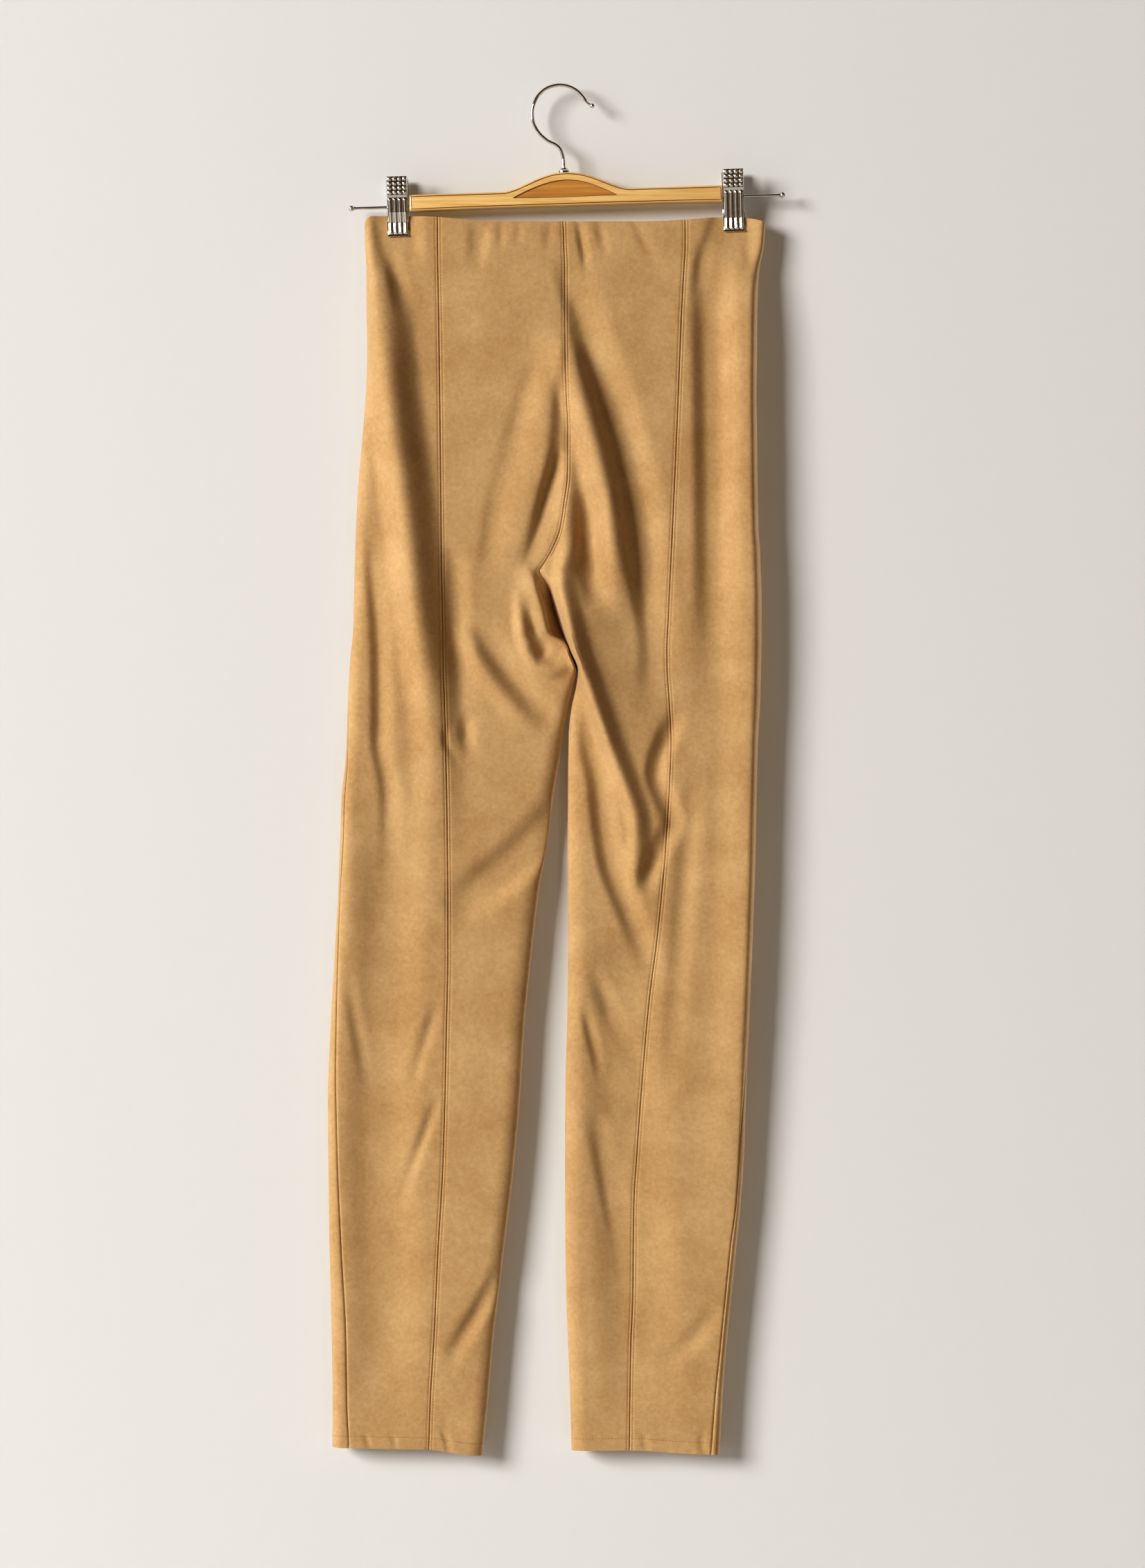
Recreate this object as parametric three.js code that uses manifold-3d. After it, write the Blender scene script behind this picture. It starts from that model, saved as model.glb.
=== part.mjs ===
// Slim trousers held by the waist in a clip hanger. Millimetres; X to the right, Y away from the
// viewer, Z up. The origin is the inner top of the hanger's hook, where it hangs.
import * as THREE from "three";
import { mergeVertices } from "three/addons/utils/BufferGeometryUtils.js";
import Module from "manifold-3d";

// ---- driving dimensions ----
const WAIST_X = 5; // centre of the waist edge, to the right of the hook
const WAIST_DROP = 109; // the waist edge below the hook's inner top
const CLOTH = 1.4; // thickness of the cloth wall
const SEAM_GAP = 0.3; // between two pieces at a seam
const RISE_STARTS = 262; // level at which the front rise begins to turn in
const RISE_TURNED = 286; // level at which it is turned in fully
const FORK_DOWN = 282; // front fork below the waist edge
const CROTCH_DOWN = 363; // where the two legs part
const OUTSEAM = 992; // waist edge to hem
const SEAM_EASE = 3; // strip beside the centre front seam that turns in below the fork
const CLIPPED = 1.75; // half the thickness of the cloth between the jaws

const HANGER_TILT = (1.8 * Math.PI) / 180; // the right end hangs higher
const WIRE = 2.8; // hook wire diameter
const BALL = 4.6; // ball on the hook's tip
const BAR_THICK = 12; // wooden bar, front to back
const ROD = 2.4; // clip rod diameter
const ROD_BALL = 5.4; // ball stop at each rod's end
const ROD_Z = -92.7; // rod axis, in the hanger's own frame
const ROD_ENDS = [-170.4, 178.1];
const ROD_IN_BAR = 18; // length of rod inside the bar
const BAR_ENDS = [-123.3, 129.4];
const FIT = 0.3; // clearance round a rod in its bore
const CLIP_WIDTH = 17.2;
const CLIP_PLATE = 0.9; // thickness of a pressed clip plate
const CLIPS = [
  { name: "left", x: -132.8, top: -69.2, foot: -116.7 },
  { name: "right", x: 138.4, top: -71.6, foot: -121.2 },
];

// ---- tables: one row for each level below the waist edge ----
const table = (columns, rows) => {
  const names = columns.split(" ");
  return rows.map((row) => Object.fromEntries(names.map((name, i) => [name, row[i]])));
};

const BODY = table("down left seam_left centre seam_right right", [
  [0, -161.8, -102.5, -1.1, 97.4, 162.2],
  [20, -161.3, -102.3, -0.5, 97.4, 160.6],
  [40, -160.2, -102.0, 0.2, 96.3, 157.0],
  [66, -160.2, -101.5, 0.2, 94.8, 155.6],
  [108, -159.6, -100.8, 0.5, 93.0, 155.2],
  [142, -160.9, -100.4, 1.3, 91.7, 154.9],
  [168, -163.0, -100.1, 2.5, 90.6, 155.2],
  [203, -166.1, -99.7, 2.4, 89.1, 155.6],
  [230, -167.9, -99.5, -0.8, 87.9, 156.0],
  [250, -168.8, -99.3, -4.1, 87.0, 156.5],
  [266, -169.3, -99.1, -10.7, 86.2, 157.8],
  [282, -169.8, -99.0, -20.5, 85.4, 158.3],
]);

// outer and inner edge of each leg, its front seam, and how far the side seam lies from the
// outer edge: in front of it where positive, behind it where negative
const LEG = {
  left: table("down outer side_seam seam inner", [
    [282, -169.8, -4, -99.0, -23.5],
    [297, -170.2, -3, -98.8, -20.0],
    [312, -170.5, -2, -98.6, -15.0],
    [325, -170.8, -1, -98.3, -12.5],
    [333, -171.2, -1, -98.2, -9.5],
    [341, -172.0, 0, -98.0, 1.5],
    [350, -173.1, 0, -97.9, 5.0],
    [363, -174.0, 0, -97.5, 9.6],
    [386, -175.2, 0, -96.6, 4.6],
    [408, -175.9, 1, -96.0, -0.4],
    [436, -177.2, 2, -95.3, -4.7],
    [464, -180.3, 3, -94.7, -9.5],
    [501, -181.6, 3, -94.3, -14.2],
    [540, -183.1, 2, -94.0, -20.9],
    [590, -185.8, 3, -93.9, -26.7],
    [649, -189.2, 5, -95.0, -32.6],
    [708, -191.4, 7, -96.3, -36.3],
    [763, -191.0, 8, -98.0, -41.2],
    [830, -190.0, 10, -101.8, -49.2],
    [902, -188.3, 12, -105.2, -57.7],
    [950, -187.6, 12, -108.0, -62.0],
    [992, -187.8, 14, -109.4, -66.5],
  ]),
  right: table("down outer side_seam seam inner", [
    [282, 158.3, -6, 85.4, -17.5],
    [290, 158.6, -6, 85.0, -11.5],
    [301, 159.0, -6, 84.5, -8.4],
    [312, 159.0, -6, 84.0, -3.4],
    [328, 159.0, -6, 83.3, 0.6],
    [346, 158.9, -5, 82.5, 5.0],
    [363, 158.5, -5, 82.8, 10.4],
    [381, 158.1, -5, 84.0, 7.2],
    [393, 157.6, -5, 84.7, 4.8],
    [415, 156.3, -5, 85.8, 3.0],
    [464, 155.0, -4, 84.2, 2.5],
    [515, 154.0, -3, 80.8, 2.3],
    [573, 152.0, -2, 75.3, 2.7],
    [632, 149.6, -1, 68.0, 2.2],
    [699, 146.7, 2, 62.3, 0.5],
    [754, 144.7, 4, 58.4, 0.2],
    [792, 142.2, 4, 56.1, 0.3],
    [830, 138.4, 5, 55.6, 0.5],
    [867, 134.7, 5, 55.2, 1.2],
    [905, 130.9, 5, 53.7, 2.6],
    [944, 127.7, 6, 52.9, 4.1],
    [992, 124.9, 7, 52.3, 5.4],
  ]),
};

// how far the cloth stands in front of and behind the hanging plane, and the roll at its edges
const DEPTH = table("down front back outer_roll inner_roll", [
  [0, 4.4, 4.2, 6, 2],
  [40, 7.0, 6.5, 9, 2],
  [100, 9.5, 9.0, 10, 2],
  [262, 10.0, 10.0, 11, 2],
  [290, 10.0, 10.5, 11, 5],
  [340, 10.0, 10.5, 11, 7],
  [400, 9.5, 9.5, 11, 11],
  [480, 9.0, 9.0, 11, 15],
  [700, 8.5, 9.0, 10, 14],
  [992, 7.5, 7.5, 9, 12],
]);

// the rise from the fork to the crotch, seen from above: where the two halves are sewn together
// in front, the centre back, and how much of the front's depth the inner edge gives up
const RISE = table("down x front_y back_y back_x sink", [
  [262, -8.9, -10.0, 10.0, 0.0, 0.0],
  [282, -20.5, -8.0, 10.4, 1.0, 0.3],
  [290, -16.0, -5.0, 10.5, 1.5, 0.4],
  [300, -11.0, -3.0, 10.5, 2.0, 0.5],
  [312, -6.5, -1.0, 10.5, 3.0, 0.5],
  [325, -2.5, 1.0, 10.5, 4.5, 0.5],
  [333, 1.0, 2.0, 10.3, 5.5, 0.6],
  [341, 5.0, 3.2, 9.6, 6.5, 0.6],
  [350, 7.7, 4.2, 7.5, 8.0, 0.7],
  [363, 10.0, 3.4, 4.2, 10.0, 0.8],
  [390, 5.0, 1.8, 2.2, 5.0, 0.8],
  [992, 5.0, 1.4, 1.8, 5.0, 0.8],
]);

// folds of the front: the line runs down through (x, down), with a share of the full height at
// each point; it falls away over "left" on its left side and "right" on its right
const FRONT_FOLDS = [
  { name: "left outer roll", rise: 14, left: 22, right: 30,
    line: [[-149, 8, 0], [-147, 60, 0.6], [-145, 120, 0.9], [-138, 200, 1], [-129, 245, 1],
      [-121, 300, 1], [-114, 350, 0.9], [-107, 395, 0.6], [-104, 450, 0.3], [-104, 520, 0]] },
  { name: "left edge trough", rise: -5, left: 8, right: 14,
    line: [[-162, 240, 0], [-157, 290, 0.7], [-155, 350, 1], [-156, 400, 0.8],
      [-151, 460, 0.5], [-149, 560, 0]] },
  { name: "hip trough beside the centre", rise: -6, left: 16, right: 34,
    line: [[-8, 92, 0], [-24, 120, 0.7], [-38, 150, 1], [-50, 185, 0.9], [-60, 225, 0.6],
      [-58, 270, 0.3], [-50, 300, 0]] },
  { name: "ridge right of the centre", rise: 12, left: 20, right: 19,
    line: [[8, 95, 0], [15, 125, 0.6], [24, 165, 1], [36, 205, 1], [42, 250, 1],
      [46, 290, 0.9], [52, 330, 0.6], [58, 372, 0]] },
  { name: "long trough right of it", rise: -6, left: 16, right: 28,
    line: [[6, 55, 0], [14, 88, 0.6], [30, 124, 1], [45, 162, 1], [59, 202, 1],
      [66, 250, 1], [72, 300, 0.8], [74, 345, 0.5], [68, 385, 0]] },
  { name: "trough beside the inseam roll", rise: -8, left: 13, right: 18,
    line: [[18, 205, 0], [18, 240, 0.8], [22, 285, 1], [28, 320, 1], [38, 355, 0.8],
      [50, 395, 0.4], [60, 440, 0]] },
  { name: "inseam roll of the right leg", rise: 10, left: 9, right: 17,
    line: [[4, 225, 0], [2, 262, 0.4], [-3, 290, 0.8], [5, 318, 1], [10, 345, 1],
      [16, 366, 1], [24, 388, 1], [38, 420, 0.8], [50, 455, 0.6], [57, 500, 0.4],
      [56, 545, 0]] },
  { name: "right side trough", rise: -7, left: 18, right: 26,
    line: [[118, 14, 0], [117, 70, 0.7], [118, 130, 1], [119, 210, 1], [120, 280, 0.8],
      [119, 340, 0.3], [118, 400, 0]] },
  { name: "right outer roll", rise: 6, left: 30, right: 10,
    line: [[150, 20, 0], [147, 80, 0.8], [147, 200, 1], [150, 320, 1], [147, 450, 0.9],
      [143, 600, 0.8], [137, 720, 0.4], [130, 820, 0]] },
  { name: "right knee trough", rise: -6, left: 12, right: 16,
    line: [[14, 392, 0], [18, 425, 0.7], [24, 470, 1], [31, 512, 1], [42, 548, 1],
      [55, 582, 0.9], [66, 612, 0.5], [74, 650, 0]] },
  { name: "right thigh hollow", rise: -6, left: 12, right: 12,
    line: [[84, 398, 0], [72, 425, 1], [68, 452, 1], [76, 482, 0.9], [68, 512, 0.8],
      [60, 538, 0]] },
  { name: "left thigh drag", rise: 4, left: 14, right: 13,
    line: [[-88, 318, 0], [-78, 340, 0.8], [-60, 368, 1], [-38, 394, 0.9], [-18, 408, 0]] },
  { name: "left knee trough", rise: -6, left: 16, right: 15,
    line: [[-10, 488, 0.8], [-32, 512, 1], [-58, 534, 1], [-80, 549, 0.5], [-96, 560, 0]] },
  { name: "right shin trough", rise: -4, left: 14, right: 11,
    line: [[20, 712, 0], [26, 745, 0.8], [33, 790, 1], [42, 832, 0.6], [48, 890, 0]] },
  { name: "left ankle crease", rise: -4, left: 10, right: 10,
    line: [[-60, 846, 0], [-72, 868, 0.8], [-84, 888, 1], [-95, 906, 0.7], [-102, 922, 0]] },
];

const BACK_FOLDS = [
  { name: "seat drag, left", rise: -2.5, left: 22, right: 18,
    line: [[-6, 130, 0], [-24, 180, 0.8], [-46, 240, 1], [-64, 300, 0]] },
  { name: "seat drag, right", rise: -3, left: 20, right: 22,
    line: [[8, 110, 0], [26, 165, 1], [48, 230, 0.9], [70, 310, 0]] },
  { name: "left thigh trough", rise: -2.5, left: 16, right: 20,
    line: [[-122, 40, 0], [-120, 140, 1], [-116, 300, 1], [-112, 420, 0]] },
  { name: "right thigh trough", rise: -3, left: 18, right: 16,
    line: [[116, 40, 0], [116, 150, 1], [112, 320, 0.8], [106, 440, 0]] },
  { name: "left knee crease", rise: -2.5, left: 14, right: 14,
    line: [[-150, 520, 0], [-118, 540, 1], [-84, 548, 0.9], [-52, 540, 0]] },
  { name: "right knee crease", rise: -3, left: 14, right: 14,
    line: [[20, 540, 0], [52, 556, 1], [92, 552, 0.8], [124, 538, 0]] },
];

// waist edge and hems: how far they lie above (-) or below (+) the level line
const WAIST_EDGE = table("x down", [
  [-162, 0.5], [-157, -4.2], [-139, -4.8], [-108, -3.9], [-87, -2.2], [-66, -0.6], [0, 0],
  [63, 0], [100, -1.7], [126, -3.6], [136, -3.6], [148, -2.8], [157, -1.1], [162, 1.2],
]);
const HEM_EDGE = table("x down", [
  [-188, -2.8], [-148, -2], [-110, -1.4], [-90, 1.4], [-67, 4],
  [5, -0.2], [52, -0.8], [94, 1.7], [125, 3.1],
]);

// ---- reading the tables ----
const mix = (a, b, t) => a + (b - a) * t;
const clamp = (t) => Math.min(1, Math.max(0, t));
const ease = (a, b, t) => {
  const s = clamp((t - a) / (b - a));
  return s * s * (3 - 2 * s);
};

// a smooth curve through one column, without overshoot
function read(rows, column, at, key = "down") {
  if (at <= rows[0][key]) return rows[0][column];
  const last = rows.length - 1;
  if (at >= rows[last][key]) return rows[last][column];
  let i = 0;
  while (rows[i + 1][key] < at) i++;
  const step = (j) => rows[j + 1][key] - rows[j][key];
  const slope = (j) => (rows[j + 1][column] - rows[j][column]) / step(j);
  const tangent = (j) => {
    if (j === 0 || j === last) return slope(j === 0 ? 0 : last - 1);
    const before = slope(j - 1);
    const after = slope(j);
    return before * after <= 0 ? 0 : (2 * before * after) / (before + after);
  };
  const h = step(i);
  const t = (at - rows[i][key]) / h;
  const start = rows[i][column];
  const end = rows[i + 1][column];
  return (
    start + (end - start) * t * t * (3 - 2 * t) +
    h * t * (1 - t) * (tangent(i) * (1 - t) - tangent(i + 1) * t)
  );
}

const SIDES = {
  left: { inward: 1, body: "left", seam: "seam_left" },
  right: { inward: -1, body: "right", seam: "seam_right" },
};
const outerEdge = (side, down) =>
  down < FORK_DOWN ? read(BODY, SIDES[side].body, down) : read(LEG[side], "outer", down);
const frontSeam = (side, down) =>
  down < FORK_DOWN ? read(BODY, SIDES[side].seam, down) : read(LEG[side], "seam", down);
const sideSeam = (side, down) => (down < FORK_DOWN ? -5 : read(LEG[side], "side_seam", down));
const innerEdge = (side, down) =>
  down < FORK_DOWN
    ? read(BODY, "centre", down) - SIDES[side].inward * SEAM_EASE
    : read(LEG[side], "inner", down);
// where the rise or the inseam joins this half to the next piece
const joinX = (side, down) => {
  const half = (SIDES[side].inward * SEAM_GAP) / 2;
  if (down < FORK_DOWN) return read(BODY, "centre", down) - half;
  if (down > CROTCH_DOWN) return innerEdge(side, down);
  return read(RISE, "x", down) - half;
};
const backJoinX = (side, down) =>
  down > CROTCH_DOWN
    ? innerEdge(side, down)
    : read(RISE, "back_x", down) - (SIDES[side].inward * SEAM_GAP) / 2;

// ---- the form of the cloth ----
function foldHeight(folds, x, down) {
  let sum = 0;
  for (const fold of folds) {
    let best = Infinity;
    let height = 0;
    for (let i = 0; i + 1 < fold.line.length; i++) {
      const [ax, ad, ak] = fold.line[i];
      const [bx, bd, bk] = fold.line[i + 1];
      const length2 = (bx - ax) ** 2 + (bd - ad) ** 2;
      const t = clamp(((x - ax) * (bx - ax) + (down - ad) * (bd - ad)) / length2);
      const dx = x - mix(ax, bx, t);
      const dd = down - mix(ad, bd, t);
      const away = Math.hypot(dx, dd);
      if (away >= best) continue;
      best = away;
      const onRight = (bd - ad) * dx - (bx - ax) * dd > 0;
      const reach = onRight ? fold.right : fold.left;
      height = away < reach ? (mix(ak, bk, t) * (1 + Math.cos((Math.PI * away) / reach))) / 2 : 0;
    }
    sum += fold.rise * height;
  }
  return sum;
}

// the two jaws press the cloth flat round each clip: fully as far as FLAT, and not past FREE
const CLIP_AT = [-134.8, 136.4];
const FLAT = { aside: 17, down: 25 };
const FREE = { aside: 30, down: 66 };
const pressed = (x, down) =>
  Math.max(...CLIP_AT.map((c) => 1 - ease(FLAT.aside, FREE.aside, Math.abs(x - c)))) *
  (1 - ease(FLAT.down, FREE.down, down));

const LEAST = 2.6; // the front never comes nearer the hanging plane than this
const LEAST_SOFT = 1.5; // and eases towards it over this depth
const FOLDS_START = [2, 26]; // levels over which the folds begin under the waist edge
function frontDepth(x, down) {
  const folds = foldHeight(FRONT_FOLDS, x, down) * ease(...FOLDS_START, down);
  const free = read(DEPTH, "front", down) + folds;
  const soft = LEAST + Math.log1p(Math.exp((free - LEAST) / LEAST_SOFT)) * LEAST_SOFT;
  return mix(soft, CLIPPED, pressed(x, down));
}
const backDepth = (x, down) =>
  mix(read(DEPTH, "back", down) + foldHeight(BACK_FOLDS, x, down), CLIPPED, pressed(x, down));

// a quarter round: how much of the full depth is left at a distance from an edge
const rounded = (distance, radius) =>
  distance >= radius ? 1 : Math.sqrt(Math.max(0, 1 - (1 - distance / radius) ** 2));
// distance from an edge against the way along the roll, and back again
const fromRoll = (along, radius) => {
  const turn = Math.abs(along) / radius;
  return turn < Math.PI / 2 ? radius * (1 - Math.cos(turn))
    : radius + Math.abs(along) - (radius * Math.PI) / 2;
};
const toRoll = (distance, radius) =>
  distance < radius ? radius * Math.acos(1 - Math.max(0, distance) / radius)
    : distance - radius + (radius * Math.PI) / 2;

const EDGE_Y = 0.3; // the outer edges lie just behind the hanging plane
const LEAST_ROLL = 1; // the back turns this sharply into the centre back seam
const INSEAM_ROLLS = [335, 380]; // levels over which the back's inner edge becomes a roll
const BACK_JOINS = [RISE_STARTS, 340]; // levels over which the back comes in to the rise
const backRoll = (down) =>
  Math.max(LEAST_ROLL, read(DEPTH, "inner_roll", down) * ease(...INSEAM_ROLLS, down));
function frontY(side, x, down) {
  const outer = Math.abs(x - outerEdge(side, down));
  const inner = Math.abs(innerEdge(side, down) - x);
  const face = -frontDepth(x, down);
  const sink = read(RISE, "sink", down);
  const low = mix(face, read(RISE, "front_y", down), down < RISE_STARTS ? 0 : sink);
  const inward = (innerEdge(side, down) - x) * SIDES[side].inward;
  const y = mix(low, face, inward <= 0 ? 0 : rounded(inner, read(DEPTH, "inner_roll", down)));
  return mix(EDGE_Y, y, rounded(outer, read(DEPTH, "outer_roll", down)));
}
function backY(side, x, down) {
  const outer = Math.abs(x - outerEdge(side, down));
  const inner = Math.abs(backJoinX(side, down) - x);
  const depth = backDepth(x, down);
  const y = mix(read(RISE, "back_y", down), depth, rounded(inner, backRoll(down)));
  const join = mix(depth, y, ease(...BACK_JOINS, down));
  return mix(EDGE_Y, join, rounded(outer, read(DEPTH, "outer_roll", down)));
}

// a point on the outer face, in the part's frame
const WAIST_LEVELS = 45; // the waist edge's rise and fall is gone this far down
const HEM_LEVELS = 92; // and the hem's this far above it
function place(x, y, down) {
  const lift = read(WAIST_EDGE, "down", x, "x") * (1 - ease(0, WAIST_LEVELS, down));
  const drop = read(HEM_EDGE, "down", x, "x") * ease(OUTSEAM - HEM_LEVELS, OUTSEAM, down);
  return new THREE.Vector3(x + WAIST_X, y, -(WAIST_DROP + down + lift + drop));
}

// a point at a way "along" the roll from the outer edge: in front if positive, behind if not
function outerPoint(side, down, along) {
  const radius = read(DEPTH, "outer_roll", down);
  const x = outerEdge(side, down) + SIDES[side].inward * fromRoll(along, radius);
  return place(x, along >= 0 ? frontY(side, x, down) : backY(side, x, down), down);
}
const sideSeamAlong = (side, down) => {
  const offset = sideSeam(side, down);
  return Math.sign(offset) * toRoll(Math.abs(offset), read(DEPTH, "outer_roll", down));
};

// ---- the pieces of cloth: each maps (down, across 0..1) to a point of its outer face ----
function sidePiece(side) {
  return (down, across) => {
    const radius = read(DEPTH, "outer_roll", down);
    const start = sideSeamAlong(side, down) + SEAM_GAP / 2;
    const width = Math.abs(frontSeam(side, down) - outerEdge(side, down)) - SEAM_GAP / 2;
    return outerPoint(side, down, mix(start, toRoll(width, radius), across));
  };
}

const WALL_SHARE = 0.22; // share of the columns on the turned-in wall
function centrePiece(side) {
  const { inward } = SIDES[side];
  return (down, across) => {
    const edge = innerEdge(side, down);
    const radius = read(DEPTH, "inner_roll", down);
    const width = Math.abs(edge - frontSeam(side, down)) - SEAM_GAP / 2;
    if (across <= 1 - WALL_SHARE) {
      const along = mix(toRoll(width, radius), 0, across / (1 - WALL_SHARE));
      const x = edge - inward * fromRoll(along, radius);
      return place(x, frontY(side, x, down), down);
    }
    const t = (across - 1 + WALL_SHARE) / WALL_SHARE;
    const joint = joinX(side, down);
    const x = mix(edge, joint, t);
    const turned = mix(frontY(side, edge, down), read(RISE, "front_y", down), t);
    const flat = -frontDepth(x, down);
    return place(x, mix(flat, turned, ease(RISE_STARTS, RISE_TURNED, down)), down);
  };
}

function backPiece(side) {
  const { inward } = SIDES[side];
  return (down, across) => {
    const outer = outerEdge(side, down);
    const join = backJoinX(side, down);
    const middle = mix(outer, join, 0.5);
    const outerRadius = read(DEPTH, "outer_roll", down);
    if (across <= 0.5) {
      const start = sideSeamAlong(side, down) - SEAM_GAP / 2;
      const end = -toRoll(Math.abs(middle - outer), outerRadius);
      return outerPoint(side, down, mix(start, end, across / 0.5));
    }
    const radius = backRoll(down);
    const width = Math.abs(join - middle);
    const along = mix(toRoll(width, radius), 0, (across - 0.5) / 0.5);
    const x = join - inward * fromRoll(along, radius);
    return place(x, backY(side, x, down), down);
  };
}

// ---- closed walls: a grid of outer points and the inner points behind them ----
function closedWall(outer, inner, wide, facing) {
  const positions = [];
  for (const p of [...outer, ...inner]) positions.push(p.x, p.y, p.z);
  const high = outer.length / wide;
  const behind = outer.length;
  const index = [];
  const quad = (a, b, c, d) => {
    if (facing > 0) index.push(a, b, c, a, c, d);
    else index.push(a, c, b, a, d, c);
  };
  const at = (i, j) => i * wide + j;
  const last = wide - 1;
  const end = high - 1;
  for (let i = 0; i < end; i++) {
    for (let j = 0; j < last; j++) {
      const corners = [at(i, j), at(i, j + 1), at(i + 1, j + 1), at(i + 1, j)];
      const [a, b, c, d] = corners.map((corner) => behind + corner);
      quad(...corners);
      quad(a, d, c, b);
    }
    quad(at(i, 0), at(i + 1, 0), behind + at(i + 1, 0), behind + at(i, 0));
    quad(at(i, last), behind + at(i, last), behind + at(i + 1, last), at(i + 1, last));
  }
  for (let j = 0; j < last; j++) {
    quad(at(0, j), behind + at(0, j), behind + at(0, j + 1), at(0, j + 1));
    quad(at(end, j), at(end, j + 1), behind + at(end, j + 1), behind + at(end, j));
  }
  const geometry = new THREE.BufferGeometry();
  geometry.setAttribute("position", new THREE.Float32BufferAttribute(positions, 3));
  geometry.setIndex(index);
  return geometry;
}

// a wall of cloth behind a piece's outer face, square to it
const NEAR = 0.005; // share of a piece's width over which its slope is taken
function clothWall(piece, rows, columns, facing) {
  const outer = [];
  const inner = [];
  for (const down of rows) {
    for (let j = 0; j <= columns; j++) {
      const across = j / columns;
      const point = piece(down, across);
      const before = piece(down, Math.max(0, across - NEAR));
      const after = piece(down, Math.min(1, across + NEAR));
      const normal = new THREE.Vector3()
        .crossVectors(after.sub(before), piece(down + 1, across).sub(piece(down - 1, across)))
        .normalize();
      outer.push(point);
      inner.push(point.clone().addScaledVector(normal, -CLOTH * facing));
    }
  }
  return closedWall(outer, inner, columns + 1, facing);
}

// levels of the grid: close together round the fork, wide apart down the legs
function levels() {
  const rows = [0, 10, 24];
  for (let down = 44; down < RISE_STARTS; down += 22) rows.push(down);
  for (let down = RISE_STARTS; down < CROTCH_DOWN + 10; down += 10) rows.push(down);
  for (let down = CROTCH_DOWN + 29; down < OUTSEAM - 10; down += 30) rows.push(down);
  rows.push(OUTSEAM);
  return rows;
}
const COLUMNS = { front_side: 7, front_centre: 9, back: 8 };

const suede = new THREE.MeshStandardMaterial({ color: 0xc4935a, roughness: 0.95 });
const maple = new THREE.MeshStandardMaterial({ color: 0xe3b868, roughness: 0.45 });
const steel = new THREE.MeshStandardMaterial({ color: 0xc8cacc, roughness: 0.2, metalness: 1 });

const part = new THREE.Group();
const add = (name, geometry, material, parent = part) => {
  const mesh = new THREE.Mesh(geometry, material);
  mesh.name = name;
  parent.add(mesh);
  return mesh;
};

const ROWS = levels();
for (const side of ["left", "right"]) {
  const facing = -SIDES[side].inward;
  const pieces = { front_side: sidePiece, front_centre: centrePiece, back: backPiece };
  for (const [kind, piece] of Object.entries(pieces)) {
    const wall = clothWall(piece(side), ROWS, COLUMNS[kind], kind === "back" ? -facing : facing);
    add(`${kind}_${side}`, wall, suede);
  }
}

// ---- the hanger, in its own frame, tilted about the hook's inner top ----
const wasm = await Module();
wasm.setup();
function solid(geometry) {
  const bare = geometry.index ? geometry.toNonIndexed() : geometry.clone();
  bare.deleteAttribute("normal");
  bare.deleteAttribute("uv");
  const merged = mergeVertices(bare, 1e-3);
  return new wasm.Manifold(
    new wasm.Mesh({
      numProp: 3,
      vertProperties: merged.attributes.position.array,
      triVerts: new Uint32Array(merged.index.array),
    }),
  );
}
function geometryOf(manifold) {
  const mesh = manifold.getMesh();
  const geometry = new THREE.BufferGeometry();
  geometry.setAttribute("position", new THREE.BufferAttribute(mesh.vertProperties, 3));
  geometry.setIndex(new THREE.BufferAttribute(mesh.triVerts, 1));
  return geometry;
}

const hanger = new THREE.Group();
hanger.rotation.y = -HANGER_TILT;
part.add(hanger);

// hook: round wire from the collar up and over, ending in a ball
const BAR_TOP = -69.4; // top of the bar's hump
const HUMP_X = 3.4; // middle of the hump
const HOOK_X = HUMP_X - 1.2; // where the hook stands in it
const HOOK_IN_BAR = 8;
const TIP = { x: 23.6, z: -15.8 };
const hookLine = new THREE.CatmullRomCurve3(
  [
    [HOOK_X, BAR_TOP - HOOK_IN_BAR], [HOOK_X, BAR_TOP + 4], [1.4, -55], [-1.4, -48.5],
    [-11.5, -42], [-19.2, -33], [-22, -22.5], [-19.8, -11.5], [-13.4, -3], [-4.4, 1.2],
    [4.8, 1.3], [13.2, -2.2], [19, -8.4], [22.6, -14.2],
  ].map(([x, z]) => new THREE.Vector3(x, 0, z)),
);
const wireSection = new THREE.Shape().absarc(0, 0, WIRE / 2, 0, 2 * Math.PI);
const WIRE_ARC = 4; // curve segments in each half of the wire's section
const HOOK_STEPS = 44;
const wireOf = (curve, steps) =>
  new THREE.ExtrudeGeometry(wireSection, {
    steps, curveSegments: WIRE_ARC, bevelEnabled: false, extrudePath: curve,
  });
const tip = new THREE.SphereGeometry(BALL / 2, 12, 8).translate(TIP.x, 0, TIP.z);
add("hook", geometryOf(solid(wireOf(hookLine, HOOK_STEPS)).add(solid(tip))), steel, hanger);

// collar: a small turned ferrule round the wire, seated on the hump
const ferrule = [
  [WIRE / 2 + FIT, 0], [4.6, 0], [4.6, 1.2], [3.4, 2.2], [2.9, 3.4], [WIRE / 2 + FIT, 3.4],
  [WIRE / 2 + FIT, 0],
].map(([r, h]) => new THREE.Vector2(r, h));
const collar = new THREE.LatheGeometry(ferrule, 20).rotateX(Math.PI / 2);
collar.translate(HOOK_X, 0, BAR_TOP + 0.2);
add("collar", collar, steel, hanger);

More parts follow.
